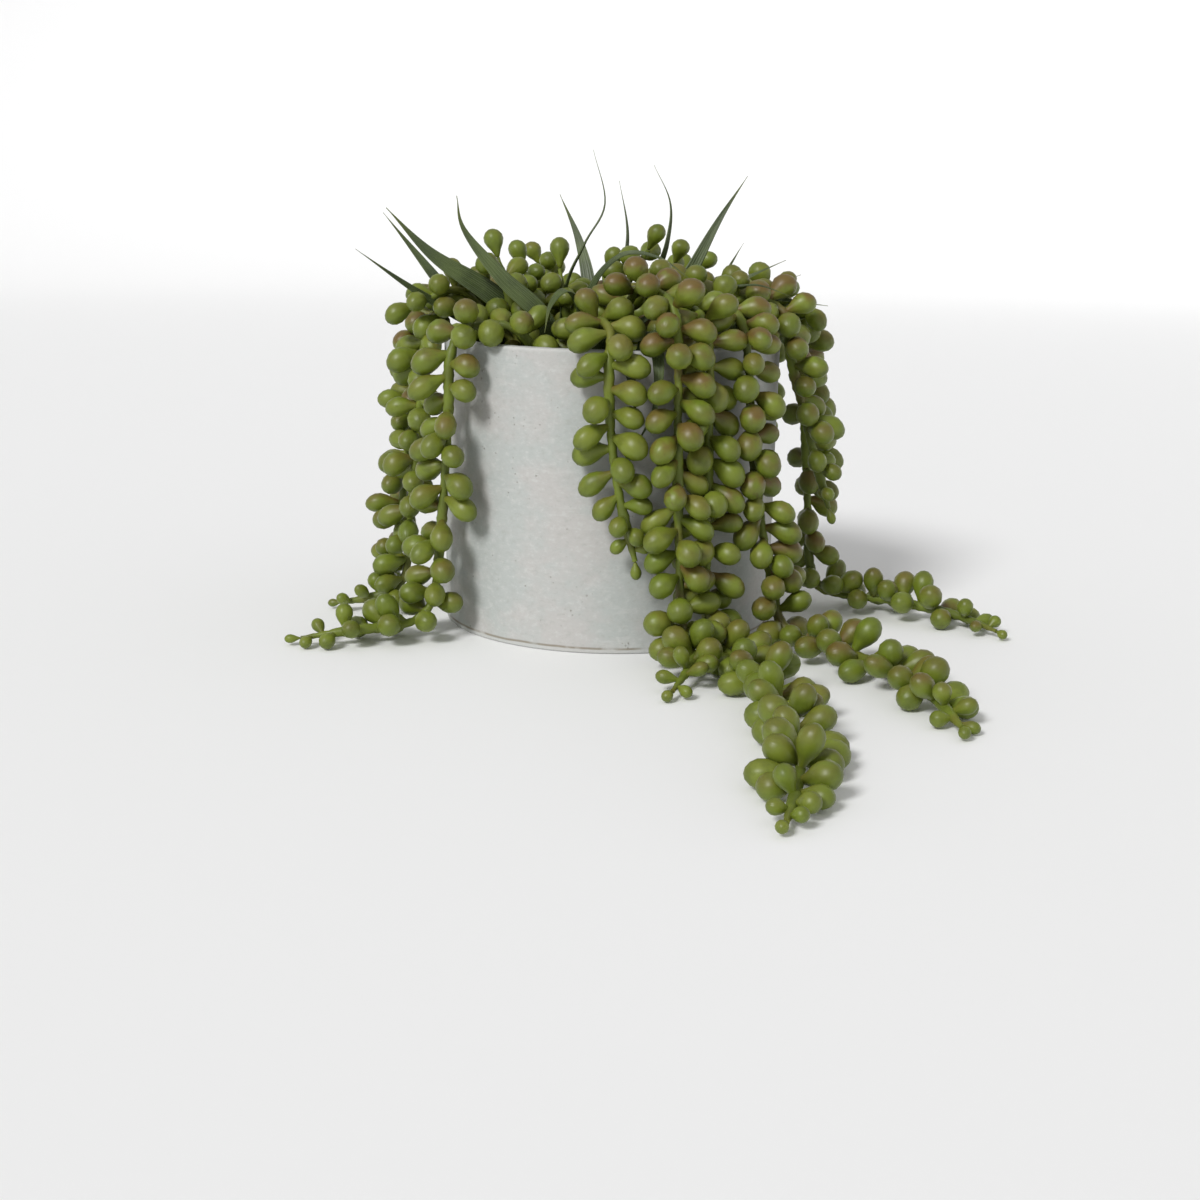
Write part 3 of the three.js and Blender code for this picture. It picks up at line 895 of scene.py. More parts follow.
PEAR_FULLNESS = 1.12
PEAR_OUTLINE = [
    (0.0, 0.50), (0.1, 0.42), (0.2, 0.44), (0.35, 0.62), (0.5, 0.80), (0.65, 0.92), (0.80, 0.99), (1.0, 1.0),
]
"""Share of a fuller ball's width that the leaf keeps, from its neck, 0, to its round end, 1."""


def pearl_tree(material: bpy.types.Material) -> bpy.types.NodeTree:
    """Geometry nodes that grow one pear-shaped leaf at each point.

    Each point's attribute aim says where the leaf points, size its girth and length, and droop how far its
    round end sags.

    Args:
        material: The leaf's finish.

    Returns:
        The tree.
    """
    counts = {"Segments": "NodeSocketInt", "Rings": "NodeSocketInt"}
    tree, canvas, given = new_tree("grow_pearls", counts)
    ball = canvas.node("GeometryNodeMeshUVSphere", inputs={
        "Segments": given.out("Segments"), "Rings": given.out("Rings"), "Radius": 1.0,
    })
    mapped = canvas.node("GeometryNodeStoreNamedAttribute", {"data_type": "FLOAT2", "domain": "CORNER"}, {
        "Geometry": ball, "Name": "UVMap", "Value": ball.out("UV Map"),
    })
    x, y, z = canvas.split(canvas.node("GeometryNodeInputPosition"))
    along = z * 0.5 + 0.5
    outline = canvas.node("ShaderNodeFloatCurve", {"curve": PEAR_OUTLINE}, {"Value": along}) * PEAR_FULLNESS
    measured = canvas.node("GeometryNodeStoreNamedAttribute", {"data_type": "FLOAT", "domain": "POINT"}, {
        "Geometry": mapped, "Name": "along", "Value": along,
    })
    pear = canvas.node("GeometryNodeSetPosition", inputs={
        "Geometry": measured, "Position": canvas.join(x * outline, y * outline, along),
    })
    turned = canvas.node("FunctionNodeAlignRotationToVector", {"axis": "Z"}, {
        "Vector": named(canvas, "aim", "FLOAT_VECTOR"),
    })
    grown = canvas.node("GeometryNodeInstanceOnPoints", inputs={
        "Points": given, "Instance": pear, "Rotation": turned, "Scale": named(canvas, "size", "FLOAT_VECTOR"),
    })
    real = canvas.node("GeometryNodeRealizeInstances", inputs={"Geometry": grown})
    share = named(canvas, "along")
    sag = share * share * named(canvas, "droop") * -1.0
    drooped = canvas.node("GeometryNodeSetPosition", inputs={
        "Geometry": real, "Offset": canvas.join(0.0, 0.0, sag),
    })
    smooth = canvas.node("GeometryNodeSetShadeSmooth", inputs={"Geometry": drooped})
    end_tree(canvas, smooth, material)
    return tree


def stem_tree(material: bpy.types.Material) -> bpy.types.NodeTree:
    """Geometry nodes that turn a chain of edges into a round stem as thick as its attribute girth says.

    Args:
        material: The stem's finish.

    Returns:
        The tree.
    """
    tree, canvas, given = new_tree("thicken_stem", {"Sides": "NodeSocketInt"})
    line = canvas.node("GeometryNodeMeshToCurve", inputs={"Mesh": given})
    ring = canvas.node("GeometryNodeCurvePrimitiveCircle", inputs={
        "Resolution": given.out("Sides"), "Radius": 1.0,
    })
    tube = canvas.node("GeometryNodeCurveToMesh", inputs={
        "Curve": line, "Profile Curve": ring, "Scale": named(canvas, "girth"), "Fill Caps": True,
    })
    real = canvas.node("GeometryNodeRealizeInstances", inputs={"Geometry": tube})
    smooth = canvas.node("GeometryNodeSetShadeSmooth", inputs={"Geometry": real})
    end_tree(canvas, smooth, material)
    return tree


# ---------------------------------------------------------------- routes


def around(degrees: float, radius: float, z: float) -> np.ndarray:
    """A point by its angle around the pot, its distance from the axis and its height."""
    angle = math.radians(degrees)
    return np.array([radius * math.sin(angle), -radius * math.cos(angle), z])


def mix(first: float, second: float, share: float) -> float:
    """A value between two others."""
    return first + (second - first) * share


def unit(vectors: np.ndarray) -> np.ndarray:
    """Vectors brought to length 1."""
    return vectors / np.maximum(np.linalg.norm(vectors, axis=-1, keepdims=True), 1e-9)


class Route:
    """A smooth curve through points, measured along its length."""

    SAMPLES = 24

    def __init__(self, points: Sequence[np.ndarray]) -> None:
        """Runs a Catmull-Rom curve through the points.

        Args:
            points: The points, in metres.
        """
        given = np.array(points, dtype=float)
        ends = np.concatenate([[2 * given[0] - given[1]], given, [2 * given[-1] - given[-2]]])
        share = np.arange(self.SAMPLES)[:, None] / self.SAMPLES
        spans = []
        for before, start, end, after in zip(ends[:-3], ends[1:-2], ends[2:-1], ends[3:]):
            leave, arrive = 0.5 * (end - before), 0.5 * (after - start)
            spans.append(
                start + leave * share + (3 * (end - start) - 2 * leave - arrive) * share**2
                + (2 * (start - end) + leave + arrive) * share**3
            )
        self.places = np.concatenate([*spans, given[-1:]])
        steps = np.linalg.norm(np.diff(self.places, axis=0), axis=1)
        self.distances = np.concatenate([[0.0], np.cumsum(steps)])
        self.length = float(self.distances[-1])

    def points(self, distances: np.ndarray) -> np.ndarray:
        """Places at these distances from the start."""
        return np.stack([np.interp(distances, self.distances, self.places[:, i]) for i in range(3)], axis=1)

    def tangents(self, distances: np.ndarray) -> np.ndarray:
        """Directions of travel at these distances from the start."""
        reach = 1.0 * MM
        ahead = self.points(np.minimum(distances + reach, self.length))
        return unit(ahead - self.points(np.maximum(distances - reach, 0.0)))

    def spaced(self, step: float) -> np.ndarray:
        """Distances from start to end at about this step."""
        return np.linspace(0.0, self.length, max(int(math.ceil(self.length / step)), 2) + 1)


STEM_RADIUS = 1.3
ROOT_DEPTH = 9.0
SPRIG_RISE = 6.0
SHOULDER_DROP = 6.0
FOOT_BEND = 15.0
LYING_HEIGHT = 6.5
LYING_TIP_HEIGHT = STEM_RADIUS + 2.0
ROUTE_STEP = 22.0
POST_SPACING = 3.0
BLADE_POST = 0.3
STRAND_BUD = 0.42
SPRIG_BUD = 0.85
STEM_SEED = 500
PEARL_SEED = 900


@dataclass(frozen=True)
class StrandPlan:
    """A stem that arches over the rim and hangs beside the wall, or reaches the surface and lies along it.

    Angles are degrees around the pot and lengths are millimetres.
    """

    name: str
    root: tuple[float, float]
    crest: float
    over: float
    foot: float
    gap: tuple[float, float]
    blush: float
    tip: Optional[float] = None
    trail: float = 0.0
    heading: float = 0.0
    turn: float = 0.0

    def nodes(self) -> tuple[str, ...]:
        """The nodes that the strand stands for: one, or two where its end lies on the surface."""
        return (self.name, f"{self.name}_lying") if self.trail > 0 else (self.name,)

    def route(self, pot: Pot, soil: Soil) -> Route:
        """Runs the stem out of the soil, over the rim, down the wall and along the surface.

        Args:
            pot: The pot that it hangs beside.
            soil: The soil that it grows from.

        Returns:
            The route.
        """
        radius, rim = pot.radius / MM, pot.height / MM
        root_angle, root_radius = self.root
        ground = float(soil.height_at(root_radius * MM)) / MM
        lowest = LYING_HEIGHT + FOOT_BEND if self.tip is None else self.tip
        shoulder = rim - SHOULDER_DROP
        points = [
            around(root_angle, root_radius, ground - ROOT_DEPTH),
            around(root_angle, root_radius + 1, ground + self.crest * 0.45),
            around(mix(root_angle, self.over, 0.5), mix(root_radius, radius, 0.5), rim + self.crest),
            around(self.over, radius + self.gap[0] * 0.3, rim + self.crest * 0.8),
            around(self.over, radius + self.gap[0], shoulder),
        ]
        steps = math.ceil((shoulder - lowest) / ROUTE_STEP)
        for i in range(1, steps + 1):
            share = i / steps
            turn = mix(self.over, self.foot, share**2)
            points.append(around(turn, radius + mix(*self.gap, share), mix(shoulder, lowest, share)))
        if self.tip is None:
            points += self.trail_points(radius + self.gap[1])
        return Route(np.array(points) * MM)

    def trail_points(self, radius: float) -> list[np.ndarray]:
        """The bend from the wall to the surface, and the stretch that lies there.

        Args:
            radius: Distance from the axis at which the stem comes down.

        Returns:
            The points, in millimetres.
        """
        bend = []
        for angle in (math.pi / 4, math.pi / 2):
            out, up = FOOT_BEND * (1 - math.cos(angle)), FOOT_BEND * (1 - math.sin(angle))
            bend.append(around(self.foot, radius + out, LYING_HEIGHT + up))
        steps = math.ceil(self.trail / ROUTE_STEP)
        place = bend[-1].copy()
        run = []
        for i in range(1, steps + 1):
            place = place + around(self.heading + self.turn * i / steps, self.trail / steps, 0.0)
            run.append(np.array([place[0], place[1], mix(LYING_HEIGHT, LYING_TIP_HEIGHT, (i / steps) ** 3)]))
        return bend + run


@dataclass(frozen=True)
class SprigPlan:
    """A short stem that stays above the pot: its root, the point it arches through, and its tip."""

    name: str
    root: tuple[float, float]
    arch: tuple[float, float, float]
    tip: tuple[float, float, float]
    blush: float

    def route(self, soil: Soil) -> Route:
        """Runs the stem out of the soil to its tip.

        Args:
            soil: The soil that it grows from.

        Returns:
            The route.
        """
        ground = float(soil.height_at(math.hypot(*self.root) * MM)) / MM
        points = [(*self.root, ground - ROOT_DEPTH), (*self.root, ground + SPRIG_RISE), self.arch, self.tip]
        return Route(np.array(points) * MM)


@dataclass(frozen=True)
class BladePlan:
    """A grass blade: its path from root to tip, its widest, the way its flat looks, and its twist.

    A blade that bends right over has another facing at its tip, since a flat can't look along its own blade.
    """

    name: str
    width: float
    face: tuple[float, float, float]
    twist: float
    path: tuple[tuple[float, float, float], ...]
    tip_face: Optional[tuple[float, float, float]] = None

    def route(self) -> Route:
        """The line along the blade's middle."""
        return Route(np.array(self.path) * MM)


STRANDS = (
    StrandPlan("strand_front_left", (-30, 50), 6, -52, -57, (10, 13), 0.45, trail=41, heading=-48, turn=-34),
    StrandPlan("strand_left", (-72, 38), 9, -84, -86, (8, 16), 0.40, trail=14, heading=-88, turn=-10),
    StrandPlan("strand_left_rear", (-106, 36), 12, -101, -96, (14, 26), 0.75, tip=5),
    StrandPlan("strand_front", (-12, 44), 9, -1, 7, (9, 11), 0.40, tip=40),
    StrandPlan("strand_front_right", (4, 28), 21, 17, 18.5, (13, 17), 0.75, trail=33, heading=-4, turn=-16),
    StrandPlan("strand_longest", (34, 40), 13, 28, 28, (8, 11), 0.50, trail=171, heading=22, turn=-36),
    StrandPlan("strand_right", (50, 36), 14, 42, 50, (8, 16), 0.75, trail=110, heading=44, turn=-36),
    StrandPlan("strand_right_short", (78, 34), 16, 72, 78, (6, 23), 0.90, tip=51),
    StrandPlan("strand_right_rear", (104, 40), 12, 98, 97, (12, 19), 0.70, trail=76, heading=74, turn=-38),
    StrandPlan("strand_rear_right", (128, 38), 10, 126, 129, (10, 13), 0.60, tip=58),
    StrandPlan("strand_rear_1", (150, 42), 14, 152, 154, (10, 14), 0.50, tip=22),
    StrandPlan("strand_rear_2", (176, 40), 9, 178, 181, (10, 12), 0.60, trail=30, heading=186, turn=30),
    StrandPlan("strand_rear_3", (200, 44), 12, 205, 203, (10, 13), 0.40, tip=66),
    StrandPlan("strand_rear_left", (226, 40), 10, 231, 234, (10, 15), 0.50, tip=34),
)

SPRIGS = (
    SprigPlan("sprig_left", (-38, -14), (-43, -14, 138), (-47, -12, 150), 0.35),
    SprigPlan("sprig_far_left", (-44, 8), (-62, -6, 136), (-80, -14, 131), 0.45),
    SprigPlan("sprig_front", (-16, -8), (-20, -10, 132), (-22, -8, 146), 0.30),
    SprigPlan("sprig_centre", (2, 4), (5, -2, 138), (14, -6, 154), 0.70),
    SprigPlan("sprig_centre_right", (26, -12), (28, -22, 136), (22, -38, 143), 0.80),
    SprigPlan("sprig_right", (30, 6), (40, -4, 134), (48, -16, 140), 0.85),
    SprigPlan("sprig_far_right", (46, 18), (62, 6, 136), (78, -4, 132), 0.90),
    SprigPlan("sprig_middle_left", (-28, 14), (-33, 16, 132), (-38, 16, 145), 0.40),
    SprigPlan("sprig_middle", (-6, 22), (-6, 22, 130), (-2, 20, 143), 0.50),
    SprigPlan("sprig_middle_right", (18, 18), (20, 20, 134), (26, 18, 148), 0.70),
    SprigPlan("sprig_rear_left", (-18, 34), (-24, 38, 134), (-32, 40, 146), 0.50),
    SprigPlan("sprig_rear_right", (18, 36), (26, 42, 134), (36, 44, 144), 0.60),
)

BLADES = (
    BladePlan("blade_left_low", 5, (0, -1, 0.5), 10,
              ((-38, 0, 98), (-46, -2, 116), (-65, -8, 127), (-82, -18, 138), (-102, -30, 153))),
    BladePlan("blade_left_broad", 10, (0.2, -1, 0.6), -20,
              ((-30, -8, 98), (-36, -10, 122), (-50, -14, 136), (-73, -18, 151), (-91, -20, 169))),
    BladePlan("blade_left_tall", 6, (0, -1, 0.3), 15,
              ((-48, 4, 98), (-56, 4, 118), (-66, 4, 131), (-80, 6, 148), (-96, 8, 167))),
    BladePlan("blade_left_curved", 8.5, (0.3, -1, 0.5), -15,
              ((-20, -26, 98), (-27, -32, 126), (-44, -33, 143), (-59, -31, 161), (-62, -30, 174))),
    BladePlan("blade_thin_tall", 2.6, (0.2, -1, 0), 120,
              ((-22, -2, 98), (-20, -12, 136), (-12, -14, 156), (-4, -12, 172), (-9, -10, 193))),
    BladePlan("blade_centre_tall", 4.2, (0.2, -1, 0.1), 60,
              ((12, 8, 98), (17, 6, 138), (22, 4, 157), (23, 8, 173), (16, 10, 188))),
    BladePlan("blade_right_tall", 6.5, (0, -1, 0.2), 12,
              ((18, -4, 98), (26, -6, 133), (34, -6, 150), (43, -4, 167), (54, 0, 184))),
    BladePlan("blade_right_short", 4, (0, -1, 0.2), 0,
              ((36, 18, 98), (41, 17, 132), (48, 18, 145), (55, 20, 157))),
    BladePlan("blade_right_low", 6, (0, -1, 0.8), -25,
              ((26, 2, 98), (33, -5, 128), (45, -8, 139), (57, -10, 145), (70, -10, 151))),
    BladePlan("blade_right_level", 5, (0.1, -0.6, 1), 10,
              ((44, 6, 98), (54, 0, 128), (66, -6, 135), (77, -8, 134), (88, -10, 133))),
    BladePlan("blade_arch", 4, (0, -0.6, 1), 20,
              ((-10, -20, 98), (-10, -26, 135), (2, -32, 152), (17, -36, 152), (31, -42, 143))),
    BladePlan("blade_arch_thin", 2, (0, -0.6, 1), 0,
              ((32, -24, 98), (40, -32, 134), (54, -36, 142), (72, -38, 137))),
    BladePlan("blade_folded", 7, (0.3, 1, 0.5), -10,
              ((-8, -32, 98), (-11, -38, 128), (-18, -47, 139), (-24, -55, 134), (-26, -61, 124)),
              tip_face=(-0.4, -1, 0.6)),
    BladePlan("blade_over_rim_left", 8.5, (0, 1, 0.5), 0,
              ((-6, -44, 98), (-3, -54, 119), (0, -65, 124), (5, -75, 116), (8, -78, 103), (9, -77, 92)),
              tip_face=(0, -1, 0.4)),
    BladePlan("blade_over_rim_right", 6, (0, 1, 0.6), 25,
              ((10, -44, 98), (12, -54, 119), (14, -65, 125), (17, -76, 115), (16, -79, 98), (8, -79, 82)),
              tip_face=(0, -1, 0.2)),
    BladePlan("blade_front_short", 5, (0, -1, 0.6), 10,
              ((2, -34, 98), (4, -38, 118), (12, -40, 128), (24, -40, 133))),
    BladePlan("blade_rear_left_low", 6, (0, 1, 0.6), -15,
              ((-38, 26, 98), (-50, 32, 124), (-66, 42, 138), (-84, 52, 150))),
    BladePlan("blade_rear_left_tall", 7, (0.2, 1, 0.3), 20,
              ((-8, 26, 98), (-10, 34, 134), (-15, 44, 156), (-24, 54, 176))),
    BladePlan("blade_rear_tall", 3.5, (0, 1, 0.2), 70,
              ((6, 24, 98), (4, 27, 136), (6, 30, 160), (2, 38, 182))),
    BladePlan("blade_rear_right", 8, (0.3, 1, 0.4), -15,
              ((24, 26, 98), (30, 38, 130), (38, 54, 148), (44, 70, 160))),
    BladePlan("blade_rear_right_low", 5, (0, 1, 0.9), 15,
              ((46, 32, 98), (56, 40, 126), (70, 48, 138), (84, 54, 143))),
    BladePlan("blade_over_rim_rear", 7, (0, -1, 0.5), 15,
              ((-6, 46, 98), (-7, 56, 120), (-9, 66, 124), (-10, 78, 114), (-8, 81, 98), (-4, 80, 86)),
              tip_face=(0, 1, 0.3)),
)


# ---------------------------------------------------------------- pearls


@dataclass
class PearlHabit:
    """How the leaves sit on their stems."""

    length: float = 16.0 * MM
    girth: float = 5.0 * MM
    spacing: float = 4.4 * MM
    first: float = 14.0 * MM
    taper: float = 34.0 * MM
    side_angle: float = 76.0
    side_sway: float = 32.0
    facing_every: int = 5
    facing_share: float = 0.3
    lean_range: tuple[float, float] = (-14.0, 34.0)
    tip_lean: float = 80.0
    girth_range: tuple[float, float] = (0.86, 1.08)
    length_range: tuple[float, float] = (0.88, 1.08)
    least_neck: float = 0.8
    clearance: float = 0.15 * MM
    rounds: int = 60
    homing: float = 0.02


@dataclass
class Pearls:
    """The leaves of one stem, one row each."""

    anchor: np.ndarray
    aim: np.ndarray
    reach: np.ndarray
    girth: np.ndarray
    distance: np.ndarray


class Bed:
    """Grows the leaves of every stem and turns them until they lie side by side."""

    def __init__(self, pot: Pot, soil: Soil, habit: PearlHabit) -> None:
        """Takes what the leaves grow beside.

        Args:
            pot: The pot.
            soil: The soil.
            habit: How the leaves grow.
        """
        self.pot = pot
        self.soil = soil
        self.habit = habit

    def open_side(self, points: np.ndarray) -> np.ndarray:
        """The way that is open around a stem: up above the pot and on the surface, outwards by the wall.

        Args:
            points: Places on stems.

        Returns:
            A unit vector for each.
        """
        radius = np.hypot(points[:, 0], points[:, 1])
        outwards = np.stack([points[:, 0] / radius, points[:, 1] / radius, np.zeros(len(points))], axis=1)
        beside = np.clip((radius - self.pot.inner_radius) / (2 * self.pot.wall), 0, 1)
        lying = np.clip(((LYING_HEIGHT + FOOT_BEND) * MM - points[:, 2]) / (FOOT_BEND * MM), 0, 1)
        open_way = outwards * (beside * (1 - lying))[:, None]
        open_way[:, 2] += 1 - beside + lying
        return unit(open_way)

    def grow(self, route: Route, bud: float, seed: int) -> Pearls:
        """Sets the leaves of one stem left and right by turns, some facing out, smaller towards the tip.

        Args:
            route: The stem.
            bud: Size of the tip's leaf, as a share of a full one.
            seed: Number that makes this stem's small differences.

        Returns:
            The leaves, as they sprout.
        """
        habit = self.habit
        chance = np.random.default_rng(seed)
        count = int((route.length - habit.first) / habit.spacing) + 1
        number = np.arange(count)
        distance = route.length - number * habit.spacing
        anchor = route.points(distance)
        tangent = route.tangents(distance)
        out = self.open_side(anchor)
        out = unit(out - tangent * np.sum(out * tangent, axis=1, keepdims=True))
        side = np.cross(tangent, out)
        facing = number % habit.facing_every == habit.facing_every - 1
        share = np.where(number % 2 == 0, 1, -1) * np.where(facing, habit.facing_share, 1.0)
        angle = np.radians(share * (habit.side_angle + habit.side_sway * chance.uniform(-1, 1, count)))
        lean = np.radians(chance.uniform(*habit.lean_range, count))
        lean[0] = math.radians(habit.tip_lean)
        across = out * np.cos(angle)[:, None] + side * np.sin(angle)[:, None]
        aim = unit(across * np.cos(lean)[:, None] + tangent * np.sin(lean)[:, None])
        share = np.clip((route.length - distance) / habit.taper, 0, 1)
        size = bud + (1 - bud) * share
        girth = habit.girth * size * chance.uniform(*habit.girth_range, count)
        length = habit.length * size * chance.uniform(*habit.length_range, count)
        reach = np.maximum(length - girth, STEM_RADIUS * MM + girth * habit.least_neck)
        return Pearls(anchor, aim, reach, girth, distance)

    def pot_push(self, centres: np.ndarray, radii: np.ndarray) -> np.ndarray:
        """How far and which way each ball has to move to clear the pot's wall.

        Args:
            centres: The balls' middles.
            radii: Their radii.

        Returns:
            A move for each.
        """
        distance = np.hypot(centres[:, 0], centres[:, 1])
        middle = self.pot.radius - self.pot.wall / 2
        across = np.abs(distance - middle) - self.pot.wall / 2
        above = centres[:, 2] - self.pot.height
        beyond = np.stack([np.maximum(across, 0), np.maximum(above, 0)], axis=1)
        away = np.linalg.norm(beyond, axis=1)
        inside = away <= 0
        clear = np.where(inside, np.maximum(across, above), away)
        sideways = np.where(inside, across > above, beyond[:, 0] / np.maximum(away, 1e-9))
        rise = np.where(inside, above >= across, beyond[:, 1] / np.maximum(away, 1e-9))
        sideways = sideways * np.sign(distance - middle)
        flat = centres[:, :2] / distance[:, None] * sideways[:, None]
        way = np.column_stack([flat, rise])
        return way * np.maximum(radii - clear, 0)[:, None]

    @staticmethod
    def crowd_push(centres: np.ndarray, others: np.ndarray, room: np.ndarray) -> np.ndarray:
        """How far each ball is pushed by others that are too near.

        Args:
            centres: The balls' middles.
            others: The other middles.
            room: The least distance of each pair.

        Returns:
            A move for each ball.
        """
        gap = centres[:, None, :] - others[None, :, :]
        apart = np.linalg.norm(gap, axis=2)
        press = np.where((apart < room) & (apart > 1e-7), (room - apart) / np.maximum(apart, 1e-6), 0.0)
        return np.einsum("ij,ijk->ik", press, gap)

    def settle(self, stems: Sequence[Pearls], posts: np.ndarray, post_radii: np.ndarray) -> None:
        """Turns the leaves until none presses into another, a stem, a blade, the pot or the ground.

        Args:
            stems: The leaves of each stem, which are turned in place.
            posts: Middles of the balls that stand for stems and blades.
            post_radii: Their radii.
        """
        habit = self.habit
        anchor = np.concatenate([pearls.anchor for pearls in stems])
        aim = np.concatenate([pearls.aim for pearls in stems])
        reach = np.concatenate([pearls.reach for pearls in stems])[:, None]
        girth = np.concatenate([pearls.girth for pearls in stems])
        home = aim.copy()
        room = girth[:, None] + girth[None, :] + habit.clearance
        post_room = girth[:, None] + post_radii[None, :] + habit.clearance
        for _ in range(habit.rounds):
            centre = anchor + aim * reach
            push = self.pot_push(centre, girth + habit.clearance)
            push += 0.5 * self.crowd_push(centre, centre, room)
            push += self.crowd_push(centre, posts, post_room)
            distance = np.hypot(centre[:, 0], centre[:, 1])
            ground = np.where(distance < self.pot.inner_radius, self.soil.height_at(distance), 0.0)
            push[:, 2] += np.maximum(ground + girth + 2 * habit.clearance - centre[:, 2], 0)
            aim = unit(unit(centre + push - anchor) + home * habit.homing)
        start = 0
        for pearls in stems:
            pearls.aim = aim[start:start + len(pearls.aim)]
            start += len(pearls.aim)


@dataclass
class Stem:
    """One stem of the plant with its leaves: a strand or a sprig."""

    name: str
    route: Route
    blush: float
    pearls: Pearls
    seed: int
    nodes: tuple[str, ...]
    radius: float = 1.45 * MM
    thinnest: float = 0.45
    taper: float = 26.0 * MM
    sleeve: float = 0.45 * MM
    sleeve_wave: float = 9.5 * MM
    knob: float = 0.4 * MM
    knob_length: float = 1.3 * MM
    droop: float = 1.6 * MM
    droop_from: float = 25.0 * MM
    droop_ease: float = 15.0 * MM
    step: float = 1.6 * MM
    sides: int = 10
    segments: int = 12
    rings: int = 9

    def build_stem(self, tree: bpy.types.NodeTree) -> None:
        """Args:
            tree: The tree that thickens a line.
        """
        distance = self.route.spaced(self.step)
        points = self.route.points(distance)
        chance = np.random.default_rng(self.seed + STEM_SEED)
        near = np.abs(distance[:, None] - self.pearls.distance[None, :]).min(axis=1)
        knobs = np.exp(-((near / self.knob_length) ** 2))
        phase = chance.uniform(0, 6.28)
        sleeves = np.clip(np.sin(distance / self.sleeve_wave + phase) * 3.0, 0, 1)
        girth = self.radius + self.knob * knobs + self.sleeve * sleeves
        from_tip = self.route.length - distance
        girth *= np.clip(from_tip / self.taper + self.thinnest, self.thinnest, 1.0)
        mesh = bpy.data.meshes.new(self.name)
        edges = [(i, i + 1) for i in range(len(points) - 1)]
        mesh.from_pydata(points.tolist(), edges, [])
        set_attribute(mesh, "girth", girth)
        set_attribute(mesh, "blush", np.full(len(points), self.blush))
        thing = show(f"{self.name}_stem", mesh)
        add_tree(thing, tree, {"Sides": self.sides})
        declare(bake_modifiers(thing), Slot.PEARLS, *self.nodes)

    def build_pearls(self, tree: bpy.types.NodeTree) -> None:
        """Args:
            tree: The tree that grows a leaf at each point.
        """
        pearls = self.pearls
        count = len(pearls.girth)
        chance = np.random.default_rng(self.seed + PEARL_SEED)
        mesh = bpy.data.meshes.new(self.name)
        mesh.from_pydata(pearls.anchor.tolist(), [], [])
        length = pearls.reach + pearls.girth
        set_attribute(mesh, "aim", pearls.aim)
        set_attribute(mesh, "size", np.stack([pearls.girth, pearls.girth, length], axis=1))
        set_attribute(mesh, "tint", chance.uniform(0.0, 1.0, count))
        low = np.clip(1.25 - self.distance_share(), 0.45, 1.0)
        set_attribute(mesh, "blush", np.clip(self.blush * low * chance.uniform(0.1, 1.7, count), 0, 1))
        raised = np.clip((pearls.anchor[:, 2] - self.droop_from) / self.droop_ease, 0, 1)
        set_attribute(mesh, "droop", self.droop * raised * pearls.girth / pearls.girth.max())
        thing = show(f"{self.name}_pearls", mesh)
        add_tree(thing, tree, {"Segments": self.segments, "Rings": self.rings})
        declare(bake_modifiers(thing), Slot.PEARLS, *self.nodes)

    def distance_share(self) -> np.ndarray:
        """How far along the stem each leaf is, from 0 at the root to 1 at the tip."""
        return self.pearls.distance / self.route.length


# ---------------------------------------------------------------- grass


